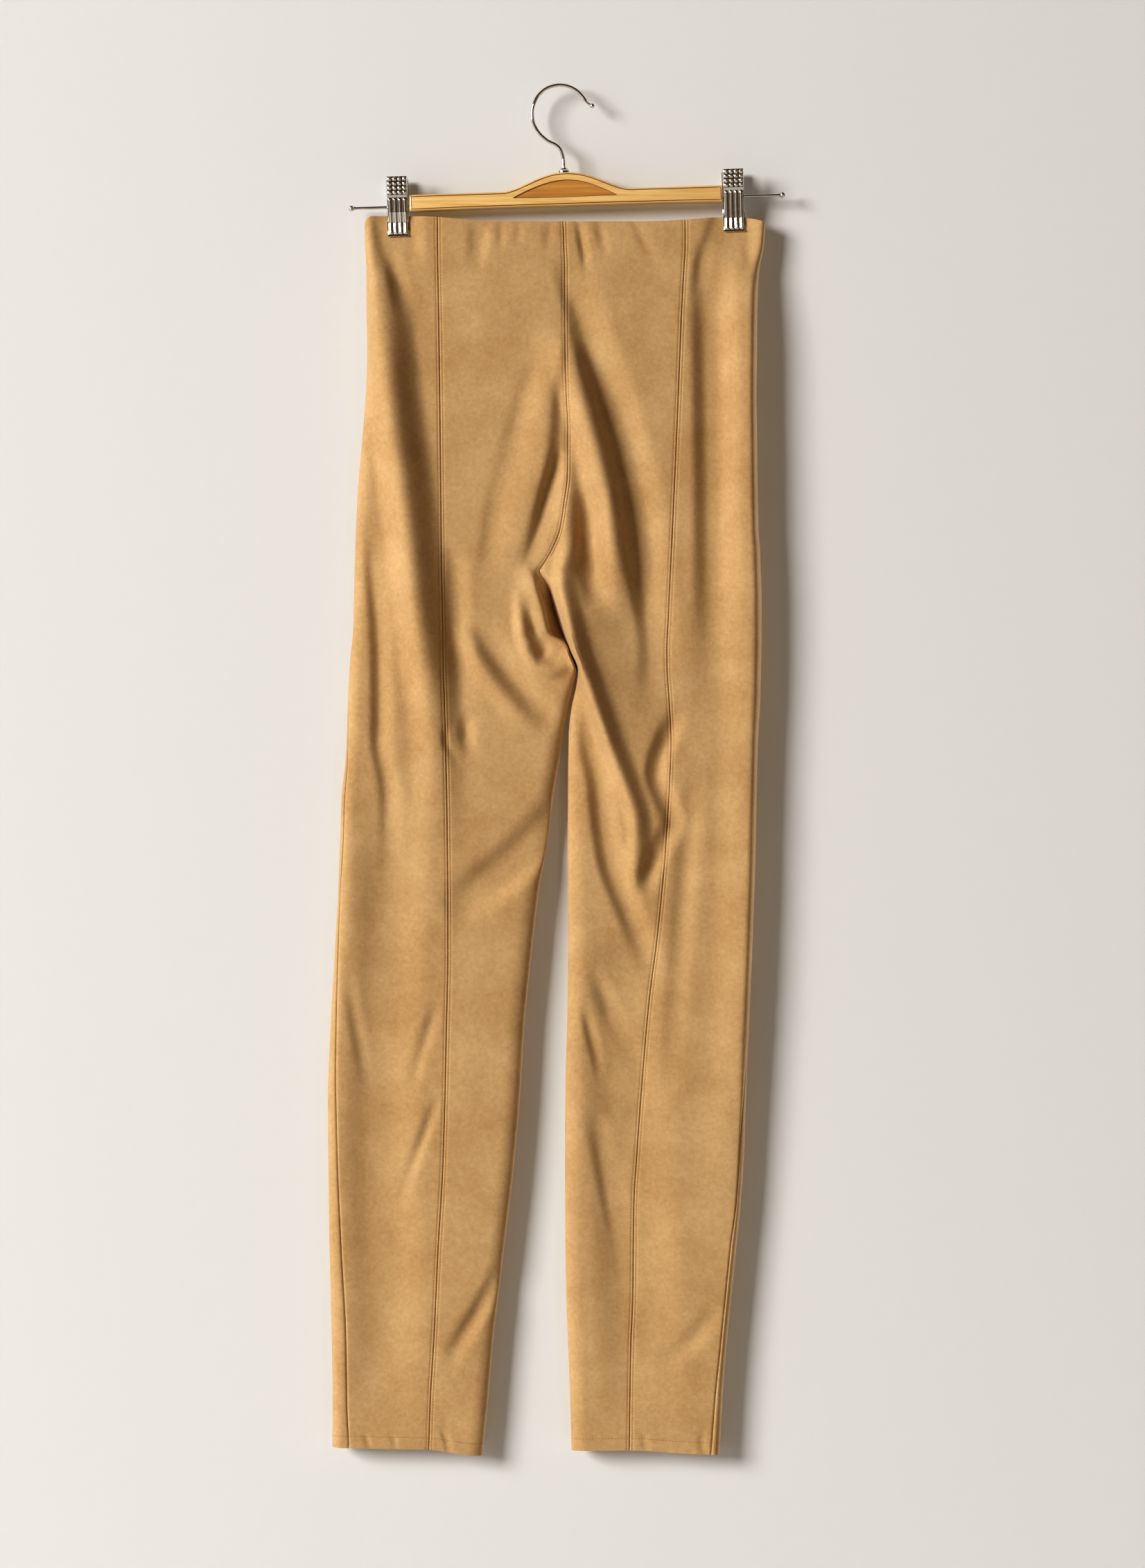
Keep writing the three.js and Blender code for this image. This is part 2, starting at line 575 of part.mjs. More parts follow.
// bar: wood, level ends and a hump in the middle, with softened edges and bores for hook and rods
const barOutline = new THREE.Shape();
const BAR_FOOT = -97.2; // lower edge at the ends
const BAR_ARCH = -94.2; // and where it aims in the middle
const BAR_SHOULDER = -83.9; // upper edge beside the hump
const BAR_ROUND = 1.6;
const HUMP = { half: 52, foot: 34, crown: 24 }; // the hump's half width and its curve's handles
const [barLeft, barRight] = BAR_ENDS;
const foot = BAR_FOOT + BAR_ROUND;
const shoulder = BAR_SHOULDER - BAR_ROUND;
barOutline.moveTo(barLeft + BAR_ROUND, foot);
barOutline.quadraticCurveTo(HUMP_X, BAR_ARCH + BAR_ROUND, barRight - BAR_ROUND, foot);
barOutline.lineTo(barRight - BAR_ROUND, shoulder);
barOutline.lineTo(HUMP_X + HUMP.half, shoulder);
barOutline.bezierCurveTo(HUMP_X + HUMP.foot, BAR_SHOULDER, HUMP_X + HUMP.crown, BAR_TOP - 1,
  HUMP_X, BAR_TOP - BAR_ROUND);
barOutline.bezierCurveTo(HUMP_X - HUMP.crown, BAR_TOP - 1, HUMP_X - HUMP.foot, BAR_SHOULDER,
  HUMP_X - HUMP.half, shoulder);
barOutline.lineTo(barLeft + BAR_ROUND, shoulder);
barOutline.closePath();
const bar = new THREE.ExtrudeGeometry(barOutline, {
  depth: BAR_THICK - 2 * BAR_ROUND, curveSegments: 14, steps: 1,
  bevelEnabled: true, bevelSize: BAR_ROUND, bevelThickness: BAR_ROUND, bevelSegments: 2,
});
bar.translate(0, 0, -BAR_THICK / 2 + BAR_ROUND);
bar.rotateX(Math.PI / 2);
const bore = (diameter, length) => new THREE.CylinderGeometry(diameter / 2, diameter / 2, length, 16);
const hookBore = bore(WIRE + 2 * FIT, 2 * (HOOK_IN_BAR + 3)).rotateX(Math.PI / 2);
hookBore.translate(HOOK_X, 0, BAR_TOP);
const rodBores = [barLeft, barRight].map((x) =>
  bore(ROD + 2 * FIT, 2 * (ROD_IN_BAR + FIT)).rotateZ(Math.PI / 2).translate(x, 0, ROD_Z));
let wood = solid(bar).subtract(solid(hookBore));
for (const hole of rodBores) wood = wood.subtract(solid(hole));
add("bar", geometryOf(wood), maple, hanger);

// rods: steel, pressed into the bar's ends, each with a ball stop
[[barLeft, ROD_ENDS[0]], [barRight, ROD_ENDS[1]]].forEach(([root, end], i) => {
  const out = Math.sign(end - root);
  const inside = root - out * ROD_IN_BAR;
  const shaft = bore(ROD, Math.abs(end - inside)).rotateZ(Math.PI / 2);
  shaft.translate((end + inside) / 2, 0, ROD_Z);
  const ball = new THREE.SphereGeometry(ROD_BALL / 2, 14, 10).translate(end, 0, ROD_Z);
  add(["rod_left", "rod_right"][i], geometryOf(solid(shaft).add(solid(ball))), steel, hanger);
});

// clips: two pressed plates that pinch the waist at the foot and splay at the top, on a spring
// that is wound round the rod; ribs run up the lower part of each plate
const RIBS = 4;
const RIB_RISE = 0.9;
const JAW = CLIPPED + FIT;
const COIL = { radius: 3.4, half: 4.5 };
// side profile of a plate: distance from the hanging plane, height, and share of the ribs' rise
function clipPlate(clip, away) {
  const side = [
    [JAW + 0.6, clip.foot, 0], [JAW, clip.foot + 2.5, 0.6], [JAW, clip.foot + 11, 1],
    [4.6, ROD_Z - 5, 1], [5.6, ROD_Z + 2, 1], [6.2, clip.top - 17, 1],
    [8.2, clip.top - 15.6, 0], [10.6, clip.top, 0],
  ];
  const outer = [];
  const inner = [];
  const columns = RIBS * 2;
  for (const [depth, z, rib] of side) {
    for (let j = 0; j <= columns; j++) {
      const x = clip.x + (j / columns - 0.5) * CLIP_WIDTH;
      const crest = j % 2;
      outer.push(new THREE.Vector3(x, away * (depth + CLIP_PLATE + RIB_RISE * rib * crest), z));
      inner.push(new THREE.Vector3(x, away * depth, z));
    }
  }
  return closedWall(outer, inner, columns + 1, -away);
}
for (const clip of CLIPS) {
  add(`clip_${clip.name}_front`, clipPlate(clip, -1), steel, hanger);
  add(`clip_${clip.name}_back`, clipPlate(clip, 1), steel, hanger);
  const inside = ROD / 2 + FIT;
  const coil = [
    [inside, -COIL.half], [COIL.radius, -COIL.half], [COIL.radius, COIL.half],
    [inside, COIL.half], [inside, -COIL.half],
  ].map(([r, h]) => new THREE.Vector2(r, h));
  const spring = new THREE.LatheGeometry(coil, 16).rotateZ(-Math.PI / 2);
  spring.translate(clip.x, 0, ROD_Z);
  add(`spring_${clip.name}`, spring, steel, hanger);
}

export default part;
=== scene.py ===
from math import cos, pi, radians

import bpy
import numpy as np
from mathutils import Matrix, Vector


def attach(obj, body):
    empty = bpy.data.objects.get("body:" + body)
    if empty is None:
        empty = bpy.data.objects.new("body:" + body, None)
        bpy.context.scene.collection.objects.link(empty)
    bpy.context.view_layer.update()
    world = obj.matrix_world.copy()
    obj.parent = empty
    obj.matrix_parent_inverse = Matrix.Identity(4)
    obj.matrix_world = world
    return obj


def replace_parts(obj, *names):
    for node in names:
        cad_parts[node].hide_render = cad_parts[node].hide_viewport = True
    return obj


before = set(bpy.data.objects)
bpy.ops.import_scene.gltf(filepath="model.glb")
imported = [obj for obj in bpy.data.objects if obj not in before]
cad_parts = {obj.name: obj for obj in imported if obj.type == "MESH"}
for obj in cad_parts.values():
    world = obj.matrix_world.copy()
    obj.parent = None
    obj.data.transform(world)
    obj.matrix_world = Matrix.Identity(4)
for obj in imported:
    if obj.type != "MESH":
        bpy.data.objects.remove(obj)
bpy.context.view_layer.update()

# Camera: square on to the front of the trousers, far enough off that the sides hardly converge.
CAMERA_OFF = 3.2
FRAME_HEIGHT = 1.267
VIEW_X, VIEW_Z = 0.0112, -0.563
camera_data = bpy.data.cameras.new("camera")
camera_data.sensor_width = 36.0
camera_data.lens = 36.0 * CAMERA_OFF / FRAME_HEIGHT
camera = bpy.data.objects.new("camera", camera_data)
camera.location = (VIEW_X, -CAMERA_OFF, VIEW_Z)
camera.rotation_euler = (radians(90), 0, 0)
bpy.context.scene.collection.objects.link(camera)
bpy.context.scene.camera = camera
bpy.context.scene.view_settings.view_transform = "Standard"
bpy.context.scene.view_settings.look = "High Contrast"


# The hanger's bar: one piece of blond wood, rounded over and varnished. A fine dark line is burned
# in round its face, and a lens-shaped hollow under the hump is stained darker. The whole hanger
# hangs a little askew, so its pieces are made level and then turned about the hook.
MM = 0.001
TILT = radians(1.8)
BAR_ROUND = 1.6
BAR_HALF = 6.0
HOLLOW = 0.7
BAR_LINE = [  # the face's edge: point, handle before it and handle after it
    ((-121.7, -95.6), (-121.7, -92.0), (-80, -94.6)), ((127.8, -95.6), (86, -94.6), (127.8, -92)),
    ((127.8, -85.5), (127.8, -89.0), (100, -85.5)), ((55.4, -85.5), (70, -85.5), (40.4, -85.2)),
    ((3.4, -71.0), (25.0, -70.6), (-18.0, -70.6)), ((-48.6, -85.5), (-33.6, -85.2), (-63, -85.5)),
    ((-121.7, -85.5), (-100, -85.5), (-121.7, -89.0)),
]
LENS_LINE = [
    ((-39.7, -89.2), (-38.0, -89.4), (-26.0, -82.0)), ((3.6, -75.8), (-11.0, -75.9), (18.0, -75.9)),
    ((44.2, -89.0), (30.0, -82.0), (42.5, -89.3)), ((2.2, -89.7), (16.0, -89.6), (-12.0, -89.7)),
]


def select_only(*pieces):
    bpy.ops.object.select_all(action="DESELECT")
    for piece in pieces:
        piece.select_set(True)
    bpy.context.view_layer.objects.active = pieces[0]


def drawn_curve(name, line, closed=True, resolution=16):
    """A curve drawn in the XZ plane through points with their handles, in millimetres."""
    bpy.ops.object.select_all(action="DESELECT")
    bpy.ops.curve.primitive_bezier_curve_add()
    piece = bpy.context.object
    piece.name = name
    curve = piece.data
    curve.splines.clear()
    spline = curve.splines.new("BEZIER")
    spline.bezier_points.add(len(line) - 1)
    for knot, (at, before, after) in zip(spline.bezier_points, line):
        knot.handle_left_type = knot.handle_right_type = "FREE"
        knot.co = (at[0] * MM, at[1] * MM, 0)
        knot.handle_left = (before[0] * MM, before[1] * MM, 0)
        knot.handle_right = (after[0] * MM, after[1] * MM, 0)
    spline.use_cyclic_u = closed
    spline.resolution_u = resolution
    return piece


def as_mesh(piece):
    select_only(piece)
    bpy.ops.object.convert(target="MESH")
    return bpy.context.object


def stand_up(piece, y=0.0):
    """Turn a flat drawing upright, move it to its depth, and hang it askew with the hanger."""
    upright = Matrix.Translation((0, y * MM, 0)) @ Matrix.Rotation(radians(90), 4, "X")
    piece.data.transform(Matrix.Rotation(-TILT, 4, "Y") @ upright)


def tidy_shell(piece, smooth=35):
    select_only(piece)
    bpy.ops.object.mode_set(mode="EDIT")
    bpy.ops.mesh.select_all(action="SELECT")
    bpy.ops.mesh.remove_doubles(threshold=1e-6)
    bpy.ops.mesh.normals_make_consistent(inside=False)
    bpy.ops.object.mode_set(mode="OBJECT")
    bpy.ops.object.shade_smooth_by_angle(angle=radians(smooth))


def wood_material(name, light, dark, line):
    material = bpy.data.materials.new(name)
    material.use_nodes = True
    nodes, links = material.node_tree.nodes, material.node_tree.links
    shader = nodes["Principled BSDF"]
    shader.inputs["Roughness"].default_value = 0.38
    shader.inputs["Coat Weight"].default_value = 0.5
    shader.inputs["Coat Roughness"].default_value = 0.22
    where = nodes.new("ShaderNodeTexCoord")
    stretch = nodes.new("ShaderNodeMapping")
    stretch.inputs["Scale"].default_value = (9, 130, 230)
    links.new(where.outputs["Object"], stretch.inputs["Vector"])
    grain = nodes.new("ShaderNodeTexNoise")
    grain.inputs["Scale"].default_value = 1.6
    grain.inputs["Detail"].default_value = 5
    grain.inputs["Distortion"].default_value = 0.6
    links.new(stretch.outputs["Vector"], grain.inputs["Vector"])
    pores = nodes.new("ShaderNodeTexNoise")
    pores.inputs["Scale"].default_value = 7
    pores.inputs["Detail"].default_value = 3
    links.new(stretch.outputs["Vector"], pores.inputs["Vector"])
    ramp = nodes.new("ShaderNodeValToRGB")
    ramp.color_ramp.elements[0].position = 0.32
    ramp.color_ramp.elements[0].color = dark
    ramp.color_ramp.elements[1].position = 0.62
    ramp.color_ramp.elements[1].color = light
    links.new(grain.outputs["Fac"], ramp.inputs["Fac"])
    mark = nodes.new("ShaderNodeMix")
    mark.data_type = "RGBA"
    mark.inputs["B"].default_value = line
    pore_mask = nodes.new("ShaderNodeMapRange")
    pore_mask.inputs["From Min"].default_value = 0.60
    pore_mask.inputs["From Max"].default_value = 0.75
    pore_mask.inputs["To Max"].default_value = 0.35
    links.new(pores.outputs["Fac"], pore_mask.inputs["Value"])
    links.new(pore_mask.outputs["Result"], mark.inputs["Factor"])
    links.new(ramp.outputs["Color"], mark.inputs["A"])
    links.new(mark.outputs["Result"], shader.inputs["Base Color"])
    bump = nodes.new("ShaderNodeBump")
    bump.inputs["Strength"].default_value = 0.12
    bump.inputs["Distance"].default_value = 0.0003
    links.new(grain.outputs["Fac"], bump.inputs["Height"])
    links.new(bump.outputs["Normal"], shader.inputs["Normal"])
    return material


blond = wood_material("blond wood", (0.80, 0.56, 0.25, 1), (0.66, 0.41, 0.145, 1),
                      (0.42, 0.21, 0.06, 1))
stained = wood_material("stained hollow", (0.58, 0.30, 0.085, 1), (0.44, 0.205, 0.05, 1),
                        (0.28, 0.11, 0.03, 1))
burned = wood_material("burned line", (0.16, 0.045, 0.012, 1), (0.09, 0.025, 0.008, 1),
                       (0.05, 0.015, 0.006, 1))

bar = drawn_curve("wooden_bar", BAR_LINE)
bar.data.dimensions = "2D"
bar.data.fill_mode = "BOTH"
bar.data.extrude = (BAR_HALF - BAR_ROUND) * MM
bar.data.bevel_depth = BAR_ROUND * MM
bar.data.bevel_resolution = 4
bar = as_mesh(bar)
tidy_shell(bar)
lens = drawn_curve("lens_cutter", LENS_LINE)
lens.data.dimensions = "2D"
lens.data.fill_mode = "BOTH"
lens.data.extrude = HOLLOW * MM
lens = as_mesh(lens)
tidy_shell(lens)
lens.data.transform(Matrix.Translation((0, 0, BAR_HALF * MM)))
select_only(bar)
cut = bar.modifiers.new("hollow", "BOOLEAN")
cut.object = lens
cut.operation = "DIFFERENCE"
cut.solver = "EXACT"
bpy.ops.object.modifier_apply(modifier="hollow")
bpy.data.objects.remove(lens)
bar.data.materials.append(blond)
bar.data.materials.append(stained)
for face in bar.data.polygons:
    if (BAR_HALF - HOLLOW - 0.05) * MM < face.center.z < (BAR_HALF - 0.05) * MM and (
            abs(face.center.x - 2.2 * MM) < 42 * MM and face.center.y < -75 * MM
            and face.center.y > -90 * MM and abs(face.normal.z) > 0.9):
        face.material_index = 1
tidy_shell(bar)
stand_up(bar)
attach(bar, "root")
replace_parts(bar, "bar")

for name, line, girth, sunk in (("burned_edge_line", BAR_LINE, 0.36, 0.12),
                                ("burned_lens_line", LENS_LINE, 0.2, 0.1)):
    burn = drawn_curve(name, line)
    burn.data.dimensions = "3D"
    burn.data.bevel_depth = girth * MM
    burn.data.bevel_resolution = 2
    burn = as_mesh(burn)
    tidy_shell(burn)
    burn.data.materials.append(burned)
    stand_up(burn, -(BAR_HALF - sunk))
    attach(burn, "root")


# The hook: round chromed wire, bent by hand tools into a crook with a cranked neck, and headed with
# a small ball. It stands in a bore in the hump, in a turned ferrule.
def chrome_material(name, tint, roughness):
    material = bpy.data.materials.new(name)
    material.use_nodes = True
    nodes, links = material.node_tree.nodes, material.node_tree.links
    shader = nodes["Principled BSDF"]
    shader.inputs["Metallic"].default_value = 1.0
    where = nodes.new("ShaderNodeTexCoord")
    wear = nodes.new("ShaderNodeTexNoise")
    wear.inputs["Scale"].default_value = 320
    wear.inputs["Detail"].default_value = 4
    links.new(where.outputs["Object"], wear.inputs["Vector"])
    ramp = nodes.new("ShaderNodeValToRGB")
    ramp.color_ramp.elements[0].color = tuple(0.82 * part for part in tint[:3]) + (1,)
    ramp.color_ramp.elements[1].color = tint
    links.new(wear.outputs["Fac"], ramp.inputs["Fac"])
    links.new(ramp.outputs["Color"], shader.inputs["Base Color"])
    spread = nodes.new("ShaderNodeMapRange")
    spread.inputs["To Min"].default_value = roughness * 0.7
    spread.inputs["To Max"].default_value = roughness * 1.6
    links.new(wear.outputs["Fac"], spread.inputs["Value"])
    links.new(spread.outputs["Result"], shader.inputs["Roughness"])
    return material


chrome = chrome_material("chrome", (0.80, 0.79, 0.77, 1), 0.05)

WIRE = 2.8
HOOK_POINTS = [
    (2.2, -77.4), (2.2, -65.4), (1.4, -55), (-1.4, -48.5), (-11.5, -42), (-19.2, -33), (-22, -22.5),
    (-19.8, -11.5), (-13.4, -3), (-4.4, 1.2), (4.8, 1.3), (13.2, -2.2), (19.2, -8.2), (21.6, -12.0),
]
HOOK_TIP = (26.6, -15.8)
BALL = 4.2


def wire_piece(name, points, wire):
    """A round wire bent smoothly through points of the hanging plane."""
    line = [(at, at, at) for at in points]
    piece = drawn_curve(name, line, closed=False, resolution=10)
    for knot in piece.data.splines[0].bezier_points:
        knot.handle_left_type = knot.handle_right_type = "AUTO"
    piece.data.dimensions = "3D"
    piece.data.bevel_depth = wire / 2 * MM
    piece.data.bevel_resolution = 5
    piece.data.use_fill_caps = True
    return as_mesh(piece)


def joined(name, pieces):
    select_only(*pieces)
    bpy.ops.object.join()
    bpy.context.object.name = name
    return bpy.context.object


def ball_at(x, z, diameter, stretch=1.0):
    bpy.ops.object.select_all(action="DESELECT")
    bpy.ops.mesh.primitive_uv_sphere_add(segments=28, ring_count=18, radius=diameter / 2 * MM)
    ball = bpy.context.object
    ball.data.transform(Matrix.Translation((x * MM, z * MM, 0)) @ Matrix.Diagonal(
        (stretch, 1, 1, 1)))
    return ball


neck = wire_piece("tip_neck", [(21.0, -11.2), (22.9, -13.5), HOOK_TIP], 1.9)
hook = joined("wire_hook", [wire_piece("crook", HOOK_POINTS, WIRE), neck,
                            ball_at(*HOOK_TIP, BALL)])
tidy_shell(hook, 60)
hook.data.materials.append(chrome)
stand_up(hook)
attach(hook, "root")
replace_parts(hook, "hook")
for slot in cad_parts["collar"].material_slots:  # the ferrule shows as its own plain solid
    slot.material = chrome


# The rods: straight chromed wire pressed into the bar's ends, with a swaged ball that keeps each
# clip from sliding off.
ROD = 2.4
ROD_Z = -92.7
for side, root, end in (("left", -105.3, -170.4), ("right", 111.4, 178.1)):
    shaft = wire_piece("shaft", [(root, ROD_Z), ((root + end) / 2, ROD_Z), (end, ROD_Z)], ROD)
    out = 1 if end > root else -1
    swage = wire_piece("swage", [(end - 3.4 * out, ROD_Z), (end, ROD_Z)], ROD * 1.28)
    rod = joined(f"ball_rod_{side}", [shaft, swage, ball_at(end, ROD_Z, 5.2, 0.9)])
    tidy_shell(rod, 60)
    rod.data.materials.append(chrome)
    stand_up(rod)
    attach(rod, "root")
    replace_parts(rod, "rod_" + side)


# The clips: two plates of chromed sheet steel on a torsion spring round the rod. Each is pressed
# with four ribs down to the jaw and, on the finger grip above a step, four rows of round studs.
CLIP_WIDTH = 17.2
PLATE = 0.7
RIB_PITCH = 4.0
STUD_PITCH = 3.55
RIB_RISE, RIB_HALF = 1.15, 1.55
STUD_RISE, STUD_RADIUS = 0.95, 1.35
JAW = 2.05


def clip_plate(name, x, top, foot, away):
    """One plate: a fine grid laid along the side profile, with its ribs, studs and flanges."""
    profile = [(foot, JAW + 1.0), (foot + 1.6, JAW + 0.2), (foot + 11, JAW), (-97.7, 4.6),
               (-90.7, 5.6), (top - 16.6, 6.4), (top - 15.0, 7.6), (top - 0.8, 8.8), (top, 8.3)]
    heights, depths = zip(*profile)
    bpy.ops.object.select_all(action="DESELECT")
    bpy.ops.mesh.primitive_grid_add(x_subdivisions=64, y_subdivisions=132, size=1)
    plate = bpy.context.object
    plate.name = name
    for vertex in plate.data.vertices:
        across, up = vertex.co.x * CLIP_WIDTH, foot + (vertex.co.y + 0.5) * (top - foot)
        depth = float(np.interp(up, heights, depths))
        nearest = min(max(round(across / RIB_PITCH - 0.5), -2), 1) + 0.5
        off = abs(across - nearest * RIB_PITCH)
        ribs = float(np.interp(up, (foot + 1.2, foot + 3.0, top - 18.6, top - 17.2), (0, 1, 1, 0)))
        depth += RIB_RISE * ribs * max(0.0, cos(min(off / RIB_HALF, 1) * pi / 2)) ** 0.8
        row = min(max(round((top - up) / STUD_PITCH - 0.62), 0), 3) + 0.62
        rise = top - up - row * STUD_PITCH
        stud = 1 - (off ** 2 + rise ** 2) / STUD_RADIUS ** 2
        depth += STUD_RISE * max(0.0, stud) ** 0.5 * (up > top - 15.0)
        edge = max(0.0, abs(across) - (CLIP_WIDTH / 2 - 0.9)) / 0.9
        fold = min(2.6, depth - JAW - 0.1) if up > foot + 4 else 0.5
        depth -= max(fold, 0.0) * edge ** 2
        vertex.co = ((x + across - 0.1 * edge) * MM, up * MM, -away * (depth + PLATE) * MM)
    wall = plate.modifiers.new("sheet steel", "SOLIDIFY")
    wall.thickness = PLATE * MM
    wall.offset = -1
    select_only(plate)
    if away > 0:
        bpy.ops.object.mode_set(mode="EDIT")
        bpy.ops.mesh.select_all(action="SELECT")
        bpy.ops.mesh.flip_normals()
        bpy.ops.object.mode_set(mode="OBJECT")
    bpy.ops.object.modifier_apply(modifier="sheet steel")
    bpy.ops.object.shade_smooth_by_angle(angle=radians(50))
    plate.data.materials.append(chrome)
    stand_up(plate)
    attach(plate, "root")
    return plate


for side, x, top, foot in (("left", -132.8, -69.2, -116.7), ("right", 138.4, -71.6, -121.2)):
    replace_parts(clip_plate(f"plate_{side}_front", x, top, foot, -1), f"clip_{side}_front")
    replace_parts(clip_plate(f"plate_{side}_back", x, top, foot, 1), f"clip_{side}_back")

    # the torsion spring: close turns of steel wire round the rod, between the two plates
    bpy.ops.object.select_all(action="DESELECT")
    bpy.ops.mesh.primitive_circle_add(vertices=10, radius=0.42 * MM, fill_type="NGON")
    coil = bpy.context.object
    coil.name = f"torsion_spring_{side}"
    coil.data.transform(Matrix.Translation((-4.0 * MM, 2.35 * MM, 0)))
    turns = coil.modifiers.new("turns", "SCREW")
    turns.axis = "X"
    turns.screw_offset = 1.0 * MM
    turns.iterations = 8
    turns.steps = turns.render_steps = 20
    turns.use_normal_calculate = True
    bpy.ops.object.modifier_apply(modifier="turns")
    tidy_shell(coil, 60)
    coil.data.transform(Matrix.Translation((x * MM, ROD_Z * MM, 0)))
    coil.data.materials.append(chrome)
    stand_up(coil)
    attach(coil, "root")
    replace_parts(coil, "spring_" + side)


# The trousers' cloth: one layer of brushed suede-like cloth, cut in six panels: centre and side
# fronts and two backs. They are sewn edge to edge, pressed open, and hang flat by the waist.
# Sizes are in millimetres; "down" is measured from the waist edge.
WAIST_X = 5
WAIST_DROP = 109
CLOTH = 1.1
SEAM_GAP = 0.3
FORK_DOWN = 282
OUTSEAM = 992
SEAM_EASE = 3
CLIPPED = 1.75
RISE_STARTS = 262  # where the front rise begins to turn in
RISE_TURNED = 286  # where it is turned in fully
BACK_JOINED = 340  # where the back has come in to the rise
INSEAM_ROLLS = (335, 380)  # where the back's inner edge becomes a roll
CENTRE_BACK_ENDS = 350
CROTCH_DOWN = 363  # where the two legs part
WAIST_LEVELS = 45  # the waist edge's rise and fall is gone this far down
HEM_LEVELS = 92  # and the hem's this far above it


def table(columns, rows):
    return dict(zip(columns.split(), np.array(rows, float).T))


BODY = table("down left seam_left centre seam_right right", [
    [0, -161.8, -102.5, -1.1, 97.4, 162.2],
    [20, -161.3, -102.3, -0.5, 97.4, 160.6],
    [40, -160.2, -102.0, 0.2, 96.3, 157.0],
    [66, -160.2, -101.5, 0.2, 94.8, 155.6],
    [108, -159.6, -100.8, 0.5, 93.0, 155.2],
    [142, -160.9, -100.4, 1.3, 91.7, 154.9],
    [168, -163.0, -100.1, 2.5, 90.6, 155.2],
    [203, -166.1, -99.7, 2.4, 89.1, 155.6],
    [230, -167.9, -99.5, -0.8, 87.9, 156.0],
    [250, -168.8, -99.3, -4.1, 87.0, 156.5],
    [266, -169.3, -99.1, -10.7, 86.2, 157.8],
    [282, -169.8, -99.0, -20.5, 85.4, 158.3],
])
LEG = {
    "left": table("down outer side_seam seam inner", [
        [282, -169.8, -4, -99.0, -23.5],
        [297, -170.2, -3, -98.8, -20.0],
        [312, -170.5, -2, -98.6, -15.0],
        [325, -170.8, -1, -98.3, -12.5],
        [333, -171.2, -1, -98.2, -9.5],
        [341, -172.0, 0, -98.0, 1.5],
        [350, -173.1, 0, -97.9, 5.0],
        [363, -174.0, 0, -97.5, 9.6],
        [386, -175.2, 0, -96.6, 4.6],
        [408, -175.9, 1, -96.0, -0.4],
        [436, -177.2, 2, -95.3, -4.7],
        [464, -180.3, 3, -94.7, -9.5],
        [501, -181.6, 3, -94.3, -14.2],
        [540, -183.1, 2, -94.0, -20.9],
        [590, -185.8, 3, -93.9, -26.7],
        [649, -189.2, 5, -95.0, -32.6],
        [708, -191.4, 7, -96.3, -36.3],
        [763, -191.0, 8, -98.0, -41.2],
        [830, -190.0, 10, -101.8, -49.2],
        [902, -188.3, 12, -105.2, -57.7],
        [950, -187.6, 12, -108.0, -62.0],
        [992, -187.8, 14, -109.4, -66.5],
    ]),
    "right": table("down outer side_seam seam inner", [
        [282, 158.3, -6, 85.4, -17.5],
        [290, 158.6, -6, 85.0, -13.0],
        [301, 159.0, -6, 84.5, -10.0],
        [312, 159.0, -6, 84.0, -6.8],
        [328, 159.0, -6, 83.3, -1.6],
        [346, 158.9, -5, 82.5, 4.2],
        [363, 158.5, -5, 82.8, 10.4],
        [381, 158.1, -5, 84.0, 7.2],
        [393, 157.6, -5, 84.7, 4.8],
        [415, 156.3, -5, 85.8, 3.0],
        [464, 155.0, -4, 84.2, 2.5],
        [515, 154.0, -3, 80.8, 2.3],
        [573, 152.0, -2, 75.3, 2.7],
        [632, 149.6, -1, 68.0, 2.2],
        [699, 146.7, 2, 62.3, 0.5],
        [754, 144.7, 4, 58.4, 0.2],
        [792, 142.2, 4, 56.1, 0.3],
        [830, 138.4, 5, 55.6, 0.5],
        [867, 134.7, 5, 55.2, 1.2],
        [905, 130.9, 5, 53.7, 2.6],
        [944, 127.7, 6, 52.9, 4.1],
        [992, 124.9, 7, 52.3, 5.4],
    ]),
}
DEPTH = table("down front back outer_roll inner_roll", [
    [0, 4.4, 4.2, 6, 2],
    [40, 7.0, 6.5, 9, 2],
    [100, 9.5, 9.0, 10, 2],
    [262, 10.0, 10.0, 11, 2],
    [290, 10.0, 10.5, 11, 4],
    [330, 10.0, 10.5, 11, 4],
    [362, 9.8, 10.0, 11, 4],
    [384, 9.6, 9.6, 11, 9],
    [400, 9.5, 9.5, 11, 11],
    [480, 9.0, 9.0, 11, 15],
    [700, 8.5, 9.0, 10, 14],
    [992, 7.5, 7.5, 9, 12],
])
RISE = table("down x front_y back_y back_x sink", [
    [262, -8.9, -10.0, 10.0, 0.0, 0.0],
    [282, -20.5, -8.0, 10.4, 1.0, 0.3],
    [290, -16.0, -5.0, 10.5, 1.5, 0.4],
    [300, -12.0, 3.0, 10.5, 2.0, 0.5],
    [312, -9.0, 5.5, 10.5, 3.0, 0.5],
    [325, -5.0, 5.5, 10.5, 4.5, 0.5],
    [333, -1.5, 4.6, 10.3, 5.5, 0.6],
    [341, 2.1, 3.4, 9.6, 6.5, 0.6],
    [350, 5.2, 4.2, 7.5, 8.0, 0.7],
    [363, 10.0, 3.4, 4.2, 10.0, 0.8],
    [390, 5.0, 1.8, 2.2, 5.0, 0.8],
    [992, 5.0, 1.4, 1.8, 5.0, 0.8],
])
WAIST_EDGE = table("x down", [
    [-162, 0.5], [-157, -4.2], [-139, -4.8], [-108, -3.9], [-87, -2.2], [-66, -0.6], [0, 0],
    [63, 0], [100, -1.7], [126, -3.6], [136, -3.6], [148, -2.8], [157, -1.1], [162, 1.2],
])
